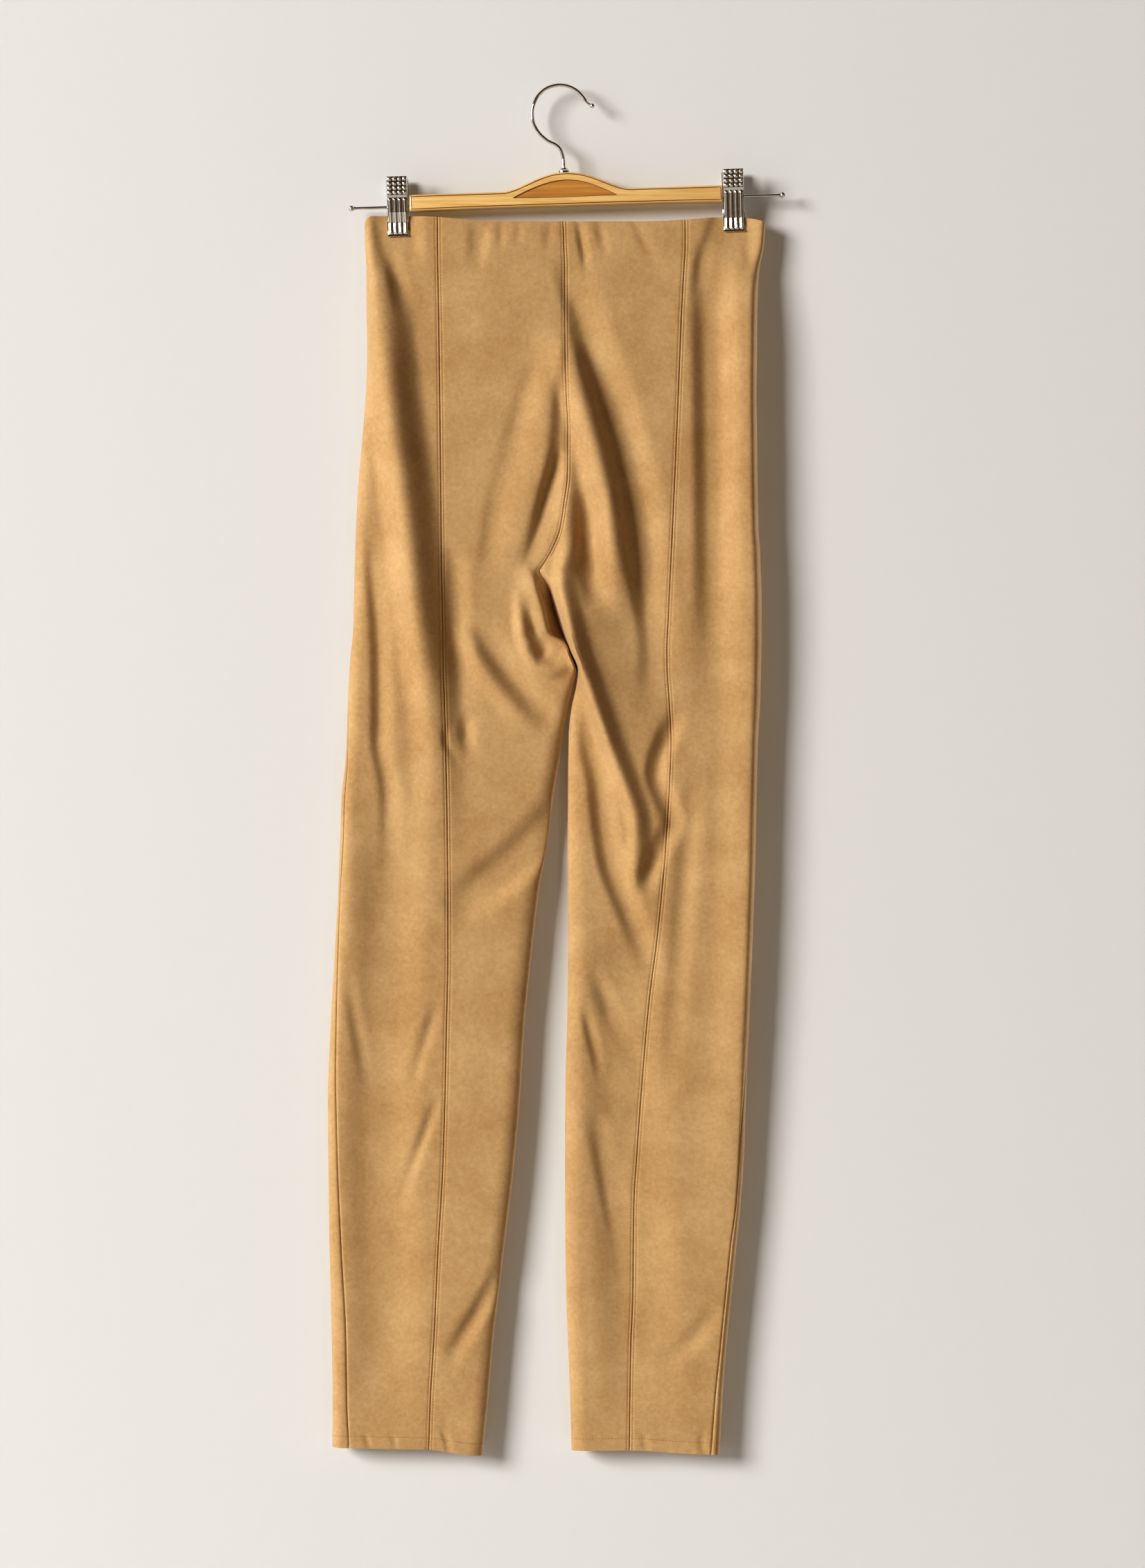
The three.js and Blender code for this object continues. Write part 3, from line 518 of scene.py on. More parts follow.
HEM_EDGE = table("x down", [
    [-188, -2.8], [-148, -2], [-110, -1.4], [-90, 1.4], [-67, 4],
    [5, -0.2], [52, -0.8], [94, 1.7], [125, 3.1],
])

# Folds: rise in mm, how far each falls away on its left and right, and its line of
# (x, down, share of the rise).
FRONT_FOLDS = [
    # the rolls and troughs that are in the solids too
    (16, 22, 27, [(-157, 22, 0), (-151, 50, 0.5), (-146, 82, 0.7), (-143, 118, 0.9), (-138, 165, 1),
                  (-132, 205, 1), (-127, 245, 1), (-121, 300, 1), (-114, 350, 0.9), (-107, 395, 0.6),
                  (-104, 450, 0.3), (-104, 520, 0)]),
    (-5, 8, 14, [(-158, 235, 0), (-155, 285, 0.6), (-151, 330, 0.9), (-150, 380, 1), (-150, 405, 1),
                 (-150, 425, 0.8), (-144, 455, 0.7), (-143, 490, 0.5), (-144, 560, 0)]),
    (5, 27, 11, [(-2, 84, 0), (-6, 108, 0.7), (-12, 140, 1), (-14, 170, 1), (-18, 196, 1),
                 (-27, 226, 0.8), (-36, 256, 0.5), (-48, 286, 0)]),
    (-1.5, 10, 16, [(-12, 98, 0), (-24, 122, 0.9), (-32, 140, 1), (-40, 165, 0.9),
                    (-50, 200, 0.6), (-58, 232, 0.9), (-61, 262, 1), (-68, 292, 0)]),
    (12, 20, 18, [(3, 92, 0), (6, 118, 0.7), (13, 145, 0.9), (21, 172, 1), (29, 203, 1),
                  (35, 232, 1), (39, 262, 1), (43, 285, 0.7), (47, 305, 0.3), (50, 325, 0)]),
    (-8, 13, 28, [(-2, 30, 0), (3, 50, 0.45), (12, 80, 0.6), (20, 110, 0.9), (32, 141, 1),
                  (41, 171, 1), (49, 202, 1), (55, 232, 1), (59, 262, 1), (64, 300, 0.8),
                  (69, 335, 0.5), (69, 365, 0.3), (64, 390, 0)]),
    (-1.6, 5, 14, [(4, 62, 0), (11, 76, 0.9), (17, 94, 0.8), (24, 112, 0)]),
    (-8, 13, 18, [(18, 212, 0), (18, 232, 0.9), (18, 262, 1), (20, 285, 0.9), (23, 300, 0.5),
                  (25, 315, 0)]),
    (8, 8, 62, [(0, 258, 0), (-3, 290, 0.6), (3, 320, 1), (9, 348, 1), (16, 370, 1), (26, 396, 0.8),
                (36, 425, 0.4), (46, 460, 0)]),
    (4.5, 15, 6, [(-34, 274, 0), (-26, 290, 0.9), (-22, 304, 1), (-18, 318, 1), (-15, 330, 0.4),
                  (-13, 340, 0)]),
    (11, 9, 14, [(4, 225, 0), (2, 262, 0.5), (-3, 290, 0.6), (2, 318, 0.8), (8, 345, 1),
                 (15, 366, 1), (24, 392, 1), (34, 420, 0.9), (46, 450, 0.8), (56, 480, 0.7),
                 (57, 512, 0.4), (56, 545, 0)]),
    (-10, 18, 24, [(119, 14, 0), (117, 70, 0.7), (118, 130, 1), (119, 210, 1), (119, 280, 0.8),
                  (118, 340, 0.3), (117, 400, 0)]),
    (6, 30, 10, [(150, 20, 0), (149, 80, 0.8), (150, 200, 1), (152, 320, 1), (150, 450, 0.9),
                 (146, 600, 0.8), (139, 720, 0.4), (132, 820, 0)]),
    (-8, 12, 16, [(14, 392, 0), (20, 425, 0.6), (27, 450, 0.8), (30, 480, 0.9), (37, 520, 1),
                  (51, 556, 0.8), (66, 595, 0.3), (76, 625, 0)]),
    (-7, 12, 11, [(94, 395, 0), (82, 418, 1), (74, 445, 1), (83, 470, 1), (88, 486, 0.8),
                  (80, 500, 0.8), (70, 520, 1), (62, 545, 0)]),
    (4.5, 14, 13, [(-88, 318, 0), (-78, 340, 0.8), (-60, 368, 1), (-38, 394, 0.9), (-18, 408, 0)]),
    (-12, 25, 20, [(-10, 488, 0.8), (-32, 512, 1), (-58, 534, 1), (-80, 549, 0.5),
                  (-96, 560, 0)]),
    (-5, 14, 12, [(22, 712, 0), (31, 745, 0.8), (41, 790, 1), (50, 832, 0.6), (56, 885, 0)]),
    (-5, 10, 10, [(-52, 842, 0), (-62, 866, 0.8), (-74, 887, 1), (-85, 904, 0.7),
                  (-96, 922, 0)]),
    # puckers under the waist edge
    (-4.2, 12, 9, [(-71, 1, 0.6), (-69, 14, 1), (-70, 26, 0.6), (-72, 40, 0)]),
    (-1.6, 4, 6, [(-63, 2, 0.8), (-64, 10, 1), (-66, 20, 0)]),
    (-1.6, 4, 6, [(-51, 2, 0.8), (-52, 12, 1), (-53, 24, 0)]),
    (-1.3, 4, 6, [(-37, 2, 0.7), (-38, 10, 1), (-38, 20, 0)]),
    (-1.6, 5, 6, [(-12, 2, 0.7), (-13, 12, 1), (-16, 24, 0)]),
    (-4.2, 3.5, 7, [(10, 0, 0.6), (12, 10, 1), (14, 22, 0.9), (16, 34, 0.4), (17, 44, 0)]),
    (-2.4, 5, 8, [(27, 1, 0.8), (29, 12, 1), (34, 26, 0)]),
    (-2.0, 5, 9, [(56, 2, 0.7), (61, 12, 1), (70, 28, 0.4), (76, 40, 0)]),
    (-5, 9, 12, [(-152, 0, 0.3), (-146, 12, 1), (-141, 30, 1), (-135, 52, 0.7), (-130, 80, 0)]),
    (-1.4, 4, 5, [(-126, 16, 0.6), (-121, 22, 1), (-112, 34, 0)]),
    (-4.5, 8, 10, [(124, 0, 0.4), (119, 12, 1), (112, 30, 1), (108, 50, 0.4), (105, 66, 0)]),
    (-2.6, 4, 5, [(144, 4, 0.8), (146, 20, 1), (150, 40, 0)]),
    # drag lines between hip and fork
    (-4.2, 6, 12, [(-2, 180, 0), (-8, 196, 1), (-14, 214, 1), (-19, 234, 0.9), (-26, 262, 0.4),
                   (-34, 288, 0)]),
    (3, 10, 12, [(0, 186, 0), (2, 205, 1), (0, 230, 1), (-6, 252, 0.8), (-14, 268, 0)]),
    (-4, 12, 16, [(-92, 255, 0), (-90, 285, 0.8), (-88, 325, 1), (-85, 360, 0.9), (-82, 385, 0.3),
                  (-80, 410, 0)]),
    (5.5, 8, 10, [(-36, 292, 0), (-36, 318, 0.9), (-32, 342, 1), (-24, 357, 1), (-10, 363, 1),
                  (2, 359, 0.6)]),
    (-3, 7, 10, [(-28, 312, 0), (-25, 330, 1), (-18, 346, 1), (-8, 352, 0.5)]),
    (-2.4, 4, 5, [(-4, 330, 0.4), (-10, 334, 1), (-15, 342, 1), (-20, 352, 0.7), (-22, 364, 0)]),
    (-3.5, 8, 11, [(-78, 398, 0), (-80, 412, 1), (-77, 424, 0.5), (-70, 434, 0)]),
    (-2.0, 4, 5, [(-90, 408, 0), (-97, 416, 1), (-92, 428, 0.8), (-84, 440, 0)]),
    (-4, 16, 16, [(-70, 322, 0), (-54, 350, 0.8), (-36, 376, 1), (-16, 396, 0.8),
                    (0, 402, 0)]),
    # creases down the legs
    (-7, 32, 36, [(-150, 450, 0), (-142, 520, 0.8), (-146, 640, 1), (-150, 740, 1),
                    (-145, 860, 0.8), (-150, 940, 0.4), (-150, 985, 0)]),
    (-7, 34, 46, [(52, 560, 0), (46, 640, 0.8), (48, 740, 1), (52, 840, 1), (56, 920, 0.6),
                    (58, 980, 0)]),
    (-3, 9, 5, [(-101, 632, 0), (-108, 650, 1), (-117, 678, 0.7), (-124, 704, 0)]),
    (-3.2, 8, 4, [(-100, 706, 0), (-109, 728, 1), (-117, 750, 1), (-127, 774, 0.4),
                  (-134, 796, 0)]),
    (-4, 11, 10, [(20, 600, 0), (32, 624, 0.8), (44, 650, 1), (54, 672, 0.9), (64, 696, 0)]),
    (-2.6, 6, 8, [(14, 632, 0), (19, 650, 1), (25, 672, 0.8), (29, 694, 0)]),
    (-3, 12, 12, [(124, 872, 0), (113, 890, 0.9), (99, 906, 1), (84, 918, 0.6), (72, 926, 0)]),
    (-1.8, 9, 9, [(58, 700, 0), (55, 725, 1), (48, 750, 0.8), (44, 775, 0)]),
    (-2.6, 12, 14, [(104, 440, 0), (99, 500, 1), (94, 560, 1), (88, 640, 0.7), (84, 720, 0)]),
    (-2.2, 8, 8, [(-176, 600, 0), (-170, 640, 1), (-164, 670, 1), (-158, 700, 0)]),
    (-1.2, 3, 4, [(-162, 978, 0), (-160, 984, 1), (-158, 991, 0.6)]),
    (-1.0, 3, 5, [(-140, 978, 0), (-138, 985, 1), (-137, 991, 0.6)]),
    (-1.2, 4, 6, [(-100, 972, 0), (-96, 981, 1), (-94, 991, 0.6)]),
    (-1.0, 4, 5, [(62, 976, 0), (64, 984, 1), (65, 992, 0.5)]),
    (-1.2, 4, 7, [(112, 970, 0), (110, 982, 1), (112, 992, 0.6)]),
]
BACK_FOLDS = [
    (-2.5, 22, 18, [(-6, 130, 0), (-24, 180, 0.8), (-46, 240, 1), (-64, 300, 0)]),
    (-3, 20, 22, [(8, 110, 0), (26, 165, 1), (48, 230, 0.9), (70, 310, 0)]),
    (-2.5, 16, 20, [(-122, 40, 0), (-120, 140, 1), (-116, 300, 1), (-112, 420, 0)]),
    (-3, 18, 16, [(116, 40, 0), (116, 150, 1), (112, 320, 0.8), (106, 440, 0)]),
    (-2.5, 14, 14, [(-150, 520, 0), (-118, 540, 1), (-84, 548, 0.9), (-52, 540, 0)]),
    (-3, 14, 14, [(20, 540, 0), (52, 556, 1), (92, 552, 0.8), (124, 538, 0)]),
    (-1.2, 4, 6, [(-84, 2, 0.8), (-82, 14, 1), (-80, 30, 0)]),
    (-1.4, 4, 7, [(-40, 2, 0.8), (-38, 16, 1), (-36, 36, 0)]),
    (-1.2, 5, 5, [(20, 2, 0.8), (21, 14, 1), (20, 30, 0)]),
    (-1.4, 5, 8, [(72, 2, 0.8), (70, 16, 1), (66, 34, 0)]),
    (-2.0, 10, 10, [(-30, 330, 0), (-54, 352, 1), (-84, 372, 0.8), (-110, 384, 0)]),
    (-2.2, 10, 10, [(26, 340, 0), (48, 362, 1), (78, 378, 0.8), (104, 386, 0)]),
    (-1.8, 12, 10, [(-160, 700, 0), (-130, 722, 1), (-96, 730, 0.8), (-66, 726, 0)]),
    (-1.6, 10, 10, [(20, 742, 0), (52, 756, 1), (90, 750, 0.8), (118, 738, 0)]),
    (-1.6, 9, 9, [(-110, 900, 0), (-92, 882, 1), (-74, 868, 0.8), (-60, 856, 0)]),
    (-1.6, 9, 9, [(30, 930, 0), (54, 915, 1), (80, 905, 0.8), (108, 902, 0)]),
]


def mix(a, b, t):
    return a + (b - a) * t


def ease(a, b, t):
    s = np.clip((t - a) / (b - a), 0, 1)
    return s * s * (3 - 2 * s)


def read(rows, column, at, key="down"):
    """A smooth curve through one column of a table, without overshoot."""
    keys, values = rows[key], rows[column]
    at = np.clip(at, keys[0], keys[-1])
    i = np.clip(np.searchsorted(keys, at, side="right") - 1, 0, len(keys) - 2)
    steps = np.diff(keys)
    slopes = np.diff(values) / steps
    tangents = np.empty(len(keys))
    tangents[0], tangents[-1] = slopes[0], slopes[-1]
    before, after = slopes[:-1], slopes[1:]
    total = np.where(before * after > 0, before + after, 1)
    tangents[1:-1] = np.where(before * after > 0, 2 * before * after / total, 0)
    t = (at - keys[i]) / steps[i]
    rise = values[i + 1] - values[i]
    bend = tangents[i] * (1 - t) - tangents[i + 1] * t
    return values[i] + rise * t * t * (3 - 2 * t) + steps[i] * t * (1 - t) * bend


INWARD = {"left": 1, "right": -1}


def by_level(down, body, leg):
    return np.where(down < FORK_DOWN, body(down), leg(down))


def outer_edge(side, down):
    return by_level(down, lambda d: read(BODY, side, d), lambda d: read(LEG[side], "outer", d))


def front_seam(side, down):
    return by_level(down, lambda d: read(BODY, "seam_" + side, d),
                    lambda d: read(LEG[side], "seam", d))


def inner_edge(side, down):
    return by_level(down, lambda d: read(BODY, "centre", d) - INWARD[side] * SEAM_EASE,
                    lambda d: read(LEG[side], "inner", d))


def side_seam(side, down):
    return by_level(down, lambda d: np.full_like(d, -5.0),
                    lambda d: read(LEG[side], "side_seam", d))


def join_x(side, down):
    """Where the rise or the inseam joins the front of this half to the next piece."""
    half = INWARD[side] * SEAM_GAP / 2
    body = by_level(down, lambda d: read(BODY, "centre", d), lambda d: read(RISE, "x", d))
    return np.where(down > CROTCH_DOWN, inner_edge(side, down), body - half)


def back_join_x(side, down):
    half = INWARD[side] * SEAM_GAP / 2
    return np.where(down > CROTCH_DOWN, inner_edge(side, down), read(RISE, "back_x", down) - half)


def curved(line, parts=7):
    """The fold's line with its corners eased by a smooth curve through the same points."""
    points = np.array(line, float)
    padded = np.vstack([2 * points[0] - points[1], points, 2 * points[-1] - points[-2]])
    out = []
    for i in range(1, len(padded) - 2):
        a, b, c, d = padded[i - 1:i + 3]
        for t in np.arange(parts) / parts:
            out.append(0.5 * (2 * b + (c - a) * t + (2 * a - 5 * b + 4 * c - d) * t * t
                              + (3 * b - a - 3 * c + d) * t ** 3))
    out.append(points[-1])
    out = np.array(out)
    out[:, 2] = np.clip(out[:, 2], 0, 1)
    return out


def fold_height(folds, x, down):
    total = np.zeros_like(x)
    for rise, left, right, line in folds:
        path = curved(line)
        reach = max(left, right)
        low, high = path.min(axis=0) - reach, path.max(axis=0) + reach
        near = (x > low[0]) & (x < high[0]) & (down > low[1]) & (down < high[1])
        if not near.any():
            continue
        px, pd = x[near], down[near]
        best = np.full(px.shape, np.inf)
        height = np.zeros(px.shape)
        for (ax, ad, ak), (bx, bd, bk) in zip(path, path[1:]):
            length2 = (bx - ax) ** 2 + (bd - ad) ** 2
            t = np.clip(((px - ax) * (bx - ax) + (pd - ad) * (bd - ad)) / length2, 0, 1)
            dx, dd = px - mix(ax, bx, t), pd - mix(ad, bd, t)
            away = np.hypot(dx, dd)
            spread = np.where((bd - ad) * dx - (bx - ax) * dd > 0, right, left)
            bump = mix(ak, bk, t) * (1 + np.cos(pi * np.minimum(away / spread, 1))) / 2
            closer = away < best
            best = np.where(closer, away, best)
            height = np.where(closer, bump, height)
        total[near] += rise * height
    return total


CLIP_AT = (-134.8, 136.4)


def pressed(x, down):
    return np.maximum.reduce([(1 - ease(10, 24, abs(x - c))) for c in CLIP_AT]) * (
        1 - ease(14, 46, down))


LEAST = 2.6
SEAM_DIP = 0.75
STITCH_AWAY = 2.1


def seam_dips(away):
    """A seam pulls the cloth in, and so do the two rows of stitches beside it."""
    return SEAM_DIP * np.exp(-(away / 0.7) ** 2) + 0.42 * np.exp(-((away - STITCH_AWAY) / 0.55) ** 2)


def hem_form(down, hem):
    """The turned hem is double below its stitches, which pull it in."""
    return 0.45 * ease(hem + 0.2, hem + 1.6, down) - 0.45 * np.exp(-((down - hem) / 0.8) ** 2)


HEM_UP = 9.6


def front_depth(side, x, down):
    free = read(DEPTH, "front", down) + fold_height(FRONT_FOLDS, x, down) * ease(-8, 12, down)
    soft = LEAST + np.log1p(np.exp((free - LEAST) / 1.5)) * 1.5
    depth = mix(soft, CLIPPED, pressed(x, down))
    depth = depth - seam_dips(abs(x - front_seam(side, down)))
    centre = np.where(down < FORK_DOWN, abs(x - read(BODY, "centre", down)), 99)
    depth = depth - seam_dips(centre)
    return depth + hem_form(down, OUTSEAM - HEM_UP)


def back_depth(x, down):
    free = read(DEPTH, "back", down) + fold_height(BACK_FOLDS, x, down)
    depth = mix(free, CLIPPED, pressed(x, down))
    centre = np.where(down < CENTRE_BACK_ENDS, abs(x - read(RISE, "back_x", down)), 99)
    return depth - seam_dips(centre) + hem_form(down, OUTSEAM - HEM_UP)


def rounded(distance, radius):
    return np.sqrt(np.clip(1 - (1 - np.minimum(distance / radius, 1)) ** 2, 0, 1))


def from_roll(along, radius):
    turn = abs(along) / radius
    return np.where(turn < pi / 2, radius * (1 - np.cos(np.minimum(turn, pi / 2))),
                    radius + abs(along) - radius * pi / 2)


def to_roll(distance, radius):
    share = np.clip(1 - distance / radius, 0, 1)
    return np.where(distance < radius, radius * np.arccos(share),
                    distance - radius + radius * pi / 2)


EDGE_Y = 0.3
ROLLED = {"left": 1.0, "right": 0.55}  # how full the roll at each outer edge is


def front_y(side, x, down):
    face = -front_depth(side, x, down)
    sink = np.where(down < RISE_STARTS, 0, read(RISE, "sink", down))
    low = mix(face, read(RISE, "front_y", down), sink)
    inward = (inner_edge(side, down) - x) * INWARD[side]
    roll = rounded(np.maximum(inward, 0), read(DEPTH, "inner_roll", down))
    y = mix(low, face, roll)
    outer = abs(x - outer_edge(side, down))
    return mix(EDGE_Y, y, rounded(outer, ROLLED[side] * read(DEPTH, "outer_roll", down)))


def back_roll(down):
    return np.maximum(1, read(DEPTH, "inner_roll", down) * ease(*INSEAM_ROLLS, down))


def back_y(side, x, down):
    depth = back_depth(x, down)
    inner = abs(back_join_x(side, down) - x)
    y = mix(read(RISE, "back_y", down), depth, rounded(inner, back_roll(down)))
    join = mix(depth, y, ease(RISE_STARTS, BACK_JOINED, down))
    outer = abs(x - outer_edge(side, down))
    return mix(EDGE_Y, join, rounded(outer, read(DEPTH, "outer_roll", down)))


def place(x, y, down):
    """From the trousers' own measures to a point in the frame, in metres."""
    lift = read(WAIST_EDGE, "down", x, "x") * (1 - ease(0, WAIST_LEVELS, down))
    drop = read(HEM_EDGE, "down", x, "x") * ease(OUTSEAM - HEM_LEVELS, OUTSEAM, down)
    z = -(WAIST_DROP + down + lift + drop)
    return np.stack([x + WAIST_X, y, z], axis=-1) * MM


FINE = np.array([0, 0.35, 0.7, 1.1, 1.6, STITCH_AWAY, 2.6, 3.2, 4.2])
STITCH_COLUMN = 5
CENTRE_COLUMNS = 46


def columns_between(start, end, count, fine_start=True, fine_end=True):
    """Columns along the cloth, close together beside a seam and about 2 mm apart elsewhere."""
    first = start + (FINE if fine_start else FINE[:1])
    final = end - (FINE if fine_end else FINE[:1])[::-1]
    share = np.arange(1, count) / count
    middle = mix(first[..., -1:], final[..., :1], share)
    return np.concatenate([first, middle, final], axis=-1)


def outer_points(side, down, along):
    radius = read(DEPTH, "outer_roll", down)
    x = outer_edge(side, down) + INWARD[side] * from_roll(along, radius)
    y = np.where(along >= 0, front_y(side, x, down), back_y(side, x, down))
    gap = abs(along - seam_along(side, down))
    inward = np.where(along >= 0, 1, -1)
    y = y + inward * 0.8 * np.exp(-(gap / 0.9) ** 2) * np.clip(abs(y) / 6, 0, 1)
    return place(x, y, down)


def seam_along(side, down):
    offset = side_seam(side, down)
    return np.sign(offset) * to_roll(abs(offset), read(DEPTH, "outer_roll", down))


def side_panel(side, levels):
    down = levels[:, None]
    radius = read(DEPTH, "outer_roll", down)
    start = seam_along(side, down) + SEAM_GAP / 2
    width = abs(front_seam(side, down) - outer_edge(side, down)) - SEAM_GAP / 2
    along = columns_between(start, to_roll(width, radius), 30)
    return outer_points(side, np.broadcast_to(down, along.shape), along)


def centre_panel(side, levels):
    down = levels[:, None]
    edge = inner_edge(side, down)
    radius = read(DEPTH, "inner_roll", down)
    width = abs(edge - front_seam(side, down)) - SEAM_GAP / 2
    face = columns_between(-to_roll(width, radius), 0 * width, CENTRE_COLUMNS, fine_end=False)
    level = np.broadcast_to(down, face.shape)
    face_x = edge - INWARD[side] * from_roll(face, radius)
    face_points = place(face_x, front_y(side, face_x, level), level)
    share = np.arange(1, 8) / 7
    x = mix(edge, join_x(side, down), share)
    level = np.broadcast_to(down, x.shape)
    turned = mix(front_y(side, edge, down), read(RISE, "front_y", down), share)
    flat = -front_depth(side, x, level)
    wall_points = place(x, mix(flat, turned, ease(RISE_STARTS, RISE_TURNED, down)), level)
    return np.concatenate([face_points, wall_points], axis=1)


def back_panel(side, levels):
    down = levels[:, None]
    outer, join = outer_edge(side, down), back_join_x(side, down)
    middle = mix(outer, join, 0.5)
    start = seam_along(side, down) - SEAM_GAP / 2
    end = -to_roll(abs(middle - outer), read(DEPTH, "outer_roll", down))
    along = -columns_between(-start, -end, 34, fine_end=False)
    first = outer_points(side, np.broadcast_to(down, along.shape), along)
    radius = back_roll(down)
    width = abs(join - middle)
    along = columns_between(-to_roll(width, radius), 0 * width, 30, fine_start=False)[:, 1:]
    level = np.broadcast_to(down, along.shape)
    x = join - INWARD[side] * from_roll(along, radius)
    return np.concatenate([first, place(x, back_y(side, x, level), level)], axis=1)


def cloth_levels():
    rows = list(np.arange(0, 4, 1.0)) + list(np.arange(4, RISE_STARTS, 3.2))
    rows += list(np.arange(RISE_STARTS, 372, 2.2)) + list(np.arange(372, OUTSEAM - 16, 3.2))
    rows += list(np.linspace(OUTSEAM - 15, OUTSEAM, 20))
    return np.array(rows)


def grid_normals(points):
    across = np.gradient(points, axis=1)
    down = np.gradient(points, axis=0)
    normals = np.cross(across, down)
    return normals / np.maximum(np.linalg.norm(normals, axis=2, keepdims=True), 1e-12)


def sheet_mesh(name, points, facing):
    """A thin closed shell of cloth behind a grid of points of its outer face."""
    rows, columns = points.shape[:2]
    index = np.arange(rows * columns).reshape(rows, columns)
    quads = np.stack([index[:-1, :-1], index[1:, :-1], index[1:, 1:], index[:-1, 1:]], axis=-1)
    quads = quads.reshape(-1, 4)
    if facing < 0:
        quads = quads[:, ::-1]
    mesh = bpy.data.meshes.new(name)
    mesh.from_pydata(points.reshape(-1, 3).tolist(), [], quads.tolist())
    piece = bpy.data.objects.new(name, mesh)
    bpy.context.scene.collection.objects.link(piece)
    select_only(piece)
    wall = piece.modifiers.new("wall", "SOLIDIFY")
    wall.thickness = CLOTH * MM
    wall.offset = -1
    bpy.ops.object.modifier_apply(modifier="wall")
    bpy.ops.object.shade_smooth_by_angle(angle=radians(60))
    return piece


def soften(points, passes=2):
    """Ease the last small kinks where folds meet, leaving the borders where they are."""
    for _ in range(passes):
        y = points[..., 1]
        eased = y.copy()
        eased[1:-1, :] = 0.5 * y[1:-1, :] + 0.25 * (y[:-2, :] + y[2:, :])
        points[..., 1] = eased
    return points


def suede_material(name="suede"):
    material = bpy.data.materials.new(name)
    material.use_nodes = True
    nodes, links = material.node_tree.nodes, material.node_tree.links
    shader = nodes["Principled BSDF"]
    shader.inputs["Sheen Weight"].default_value = 0.55
    shader.inputs["Sheen Roughness"].default_value = 0.45
    shader.inputs["Sheen Tint"].default_value = (1.0, 0.88, 0.70, 1)
    shader.inputs["Specular IOR Level"].default_value = 0.15
    where = nodes.new("ShaderNodeTexCoord")

    def noise(scale, detail, roughness=0.55):
        node = nodes.new("ShaderNodeTexNoise")
        node.inputs["Scale"].default_value = scale
        node.inputs["Detail"].default_value = detail
        node.inputs["Roughness"].default_value = roughness
        links.new(where.outputs["Object"], node.inputs["Vector"])
        return node

    nap = noise(21, 5, 0.62)
    mottle = noise(300, 4, 0.6)
    fibre = noise(1500, 3, 0.7)
    tone = nodes.new("ShaderNodeMath")
    tone.operation = "MULTIPLY_ADD"
    tone.inputs[1].default_value = 0.26
    links.new(mottle.outputs["Fac"], tone.inputs[0])
    nap_share = nodes.new("ShaderNodeMath")
    nap_share.operation = "MULTIPLY_ADD"
    nap_share.inputs[1].default_value = 0.42
    links.new(nap.outputs["Fac"], nap_share.inputs[0])
    fibre_share = nodes.new("ShaderNodeMath")
    fibre_share.operation = "MULTIPLY"
    fibre_share.inputs[1].default_value = 0.29
    links.new(fibre.outputs["Fac"], fibre_share.inputs[0])
    links.new(fibre_share.outputs[0], nap_share.inputs[2])
    links.new(nap_share.outputs[0], tone.inputs[2])
    ramp = nodes.new("ShaderNodeValToRGB")
    ramp.color_ramp.elements[0].position = 0.36
    ramp.color_ramp.elements[0].color = (0.42, 0.262, 0.120, 1)
    ramp.color_ramp.elements[1].position = 0.62
    ramp.color_ramp.elements[1].color = (0.585, 0.405, 0.218, 1)
    links.new(tone.outputs[0], ramp.inputs["Fac"])
    links.new(ramp.outputs["Color"], shader.inputs["Base Color"])
    shader.inputs["Roughness"].default_value = 0.92
    bump = nodes.new("ShaderNodeBump")
    bump.inputs["Strength"].default_value = 0.35
    bump.inputs["Distance"].default_value = 0.0006
    links.new(tone.outputs[0], bump.inputs["Height"])
    links.new(bump.outputs["Normal"], shader.inputs["Normal"])
    return material


suede = suede_material()
levels = cloth_levels()
panels = {}
for side in ("left", "right"):
    for kind, make in (("front_side", side_panel), ("front_centre", centre_panel),
                       ("back", back_panel)):
        node = f"{kind}_{side}"
        points = soften(make(side, levels))
        turned = INWARD[side] * (-1 if kind == "back" else 1)
        piece = sheet_mesh("cloth_" + node, points, turned)
        piece.data.materials.append(suede)
        panels[node] = (piece, points, grid_normals(points) * turned * -1)
        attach(piece, "root")
        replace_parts(piece, node)


# Topstitching: a row of polyester thread each side of the front seams and of the centre front down
# to the fork, and one row round each hem. Each stitch is a short strand sunk in the brushed face.
STITCH = 2.5
THREAD = 0.42
RING = 6


def thread_material():
    material = bpy.data.materials.new("polyester thread")
    material.use_nodes = True
    nodes, links = material.node_tree.nodes, material.node_tree.links
    shader = nodes["Principled BSDF"]
    shader.inputs["Roughness"].default_value = 0.6
    where = nodes.new("ShaderNodeTexCoord")
    twist = nodes.new("ShaderNodeTexNoise")
    twist.inputs["Scale"].default_value = 2600
    links.new(where.outputs["Object"], twist.inputs["Vector"])
    ramp = nodes.new("ShaderNodeValToRGB")
    ramp.color_ramp.elements[0].color = (0.22, 0.095, 0.022, 1)
    ramp.color_ramp.elements[1].color = (0.46, 0.235, 0.075, 1)
    links.new(twist.outputs["Fac"], ramp.inputs["Fac"])
    links.new(ramp.outputs["Color"], shader.inputs["Base Color"])
    return material


thread = thread_material()


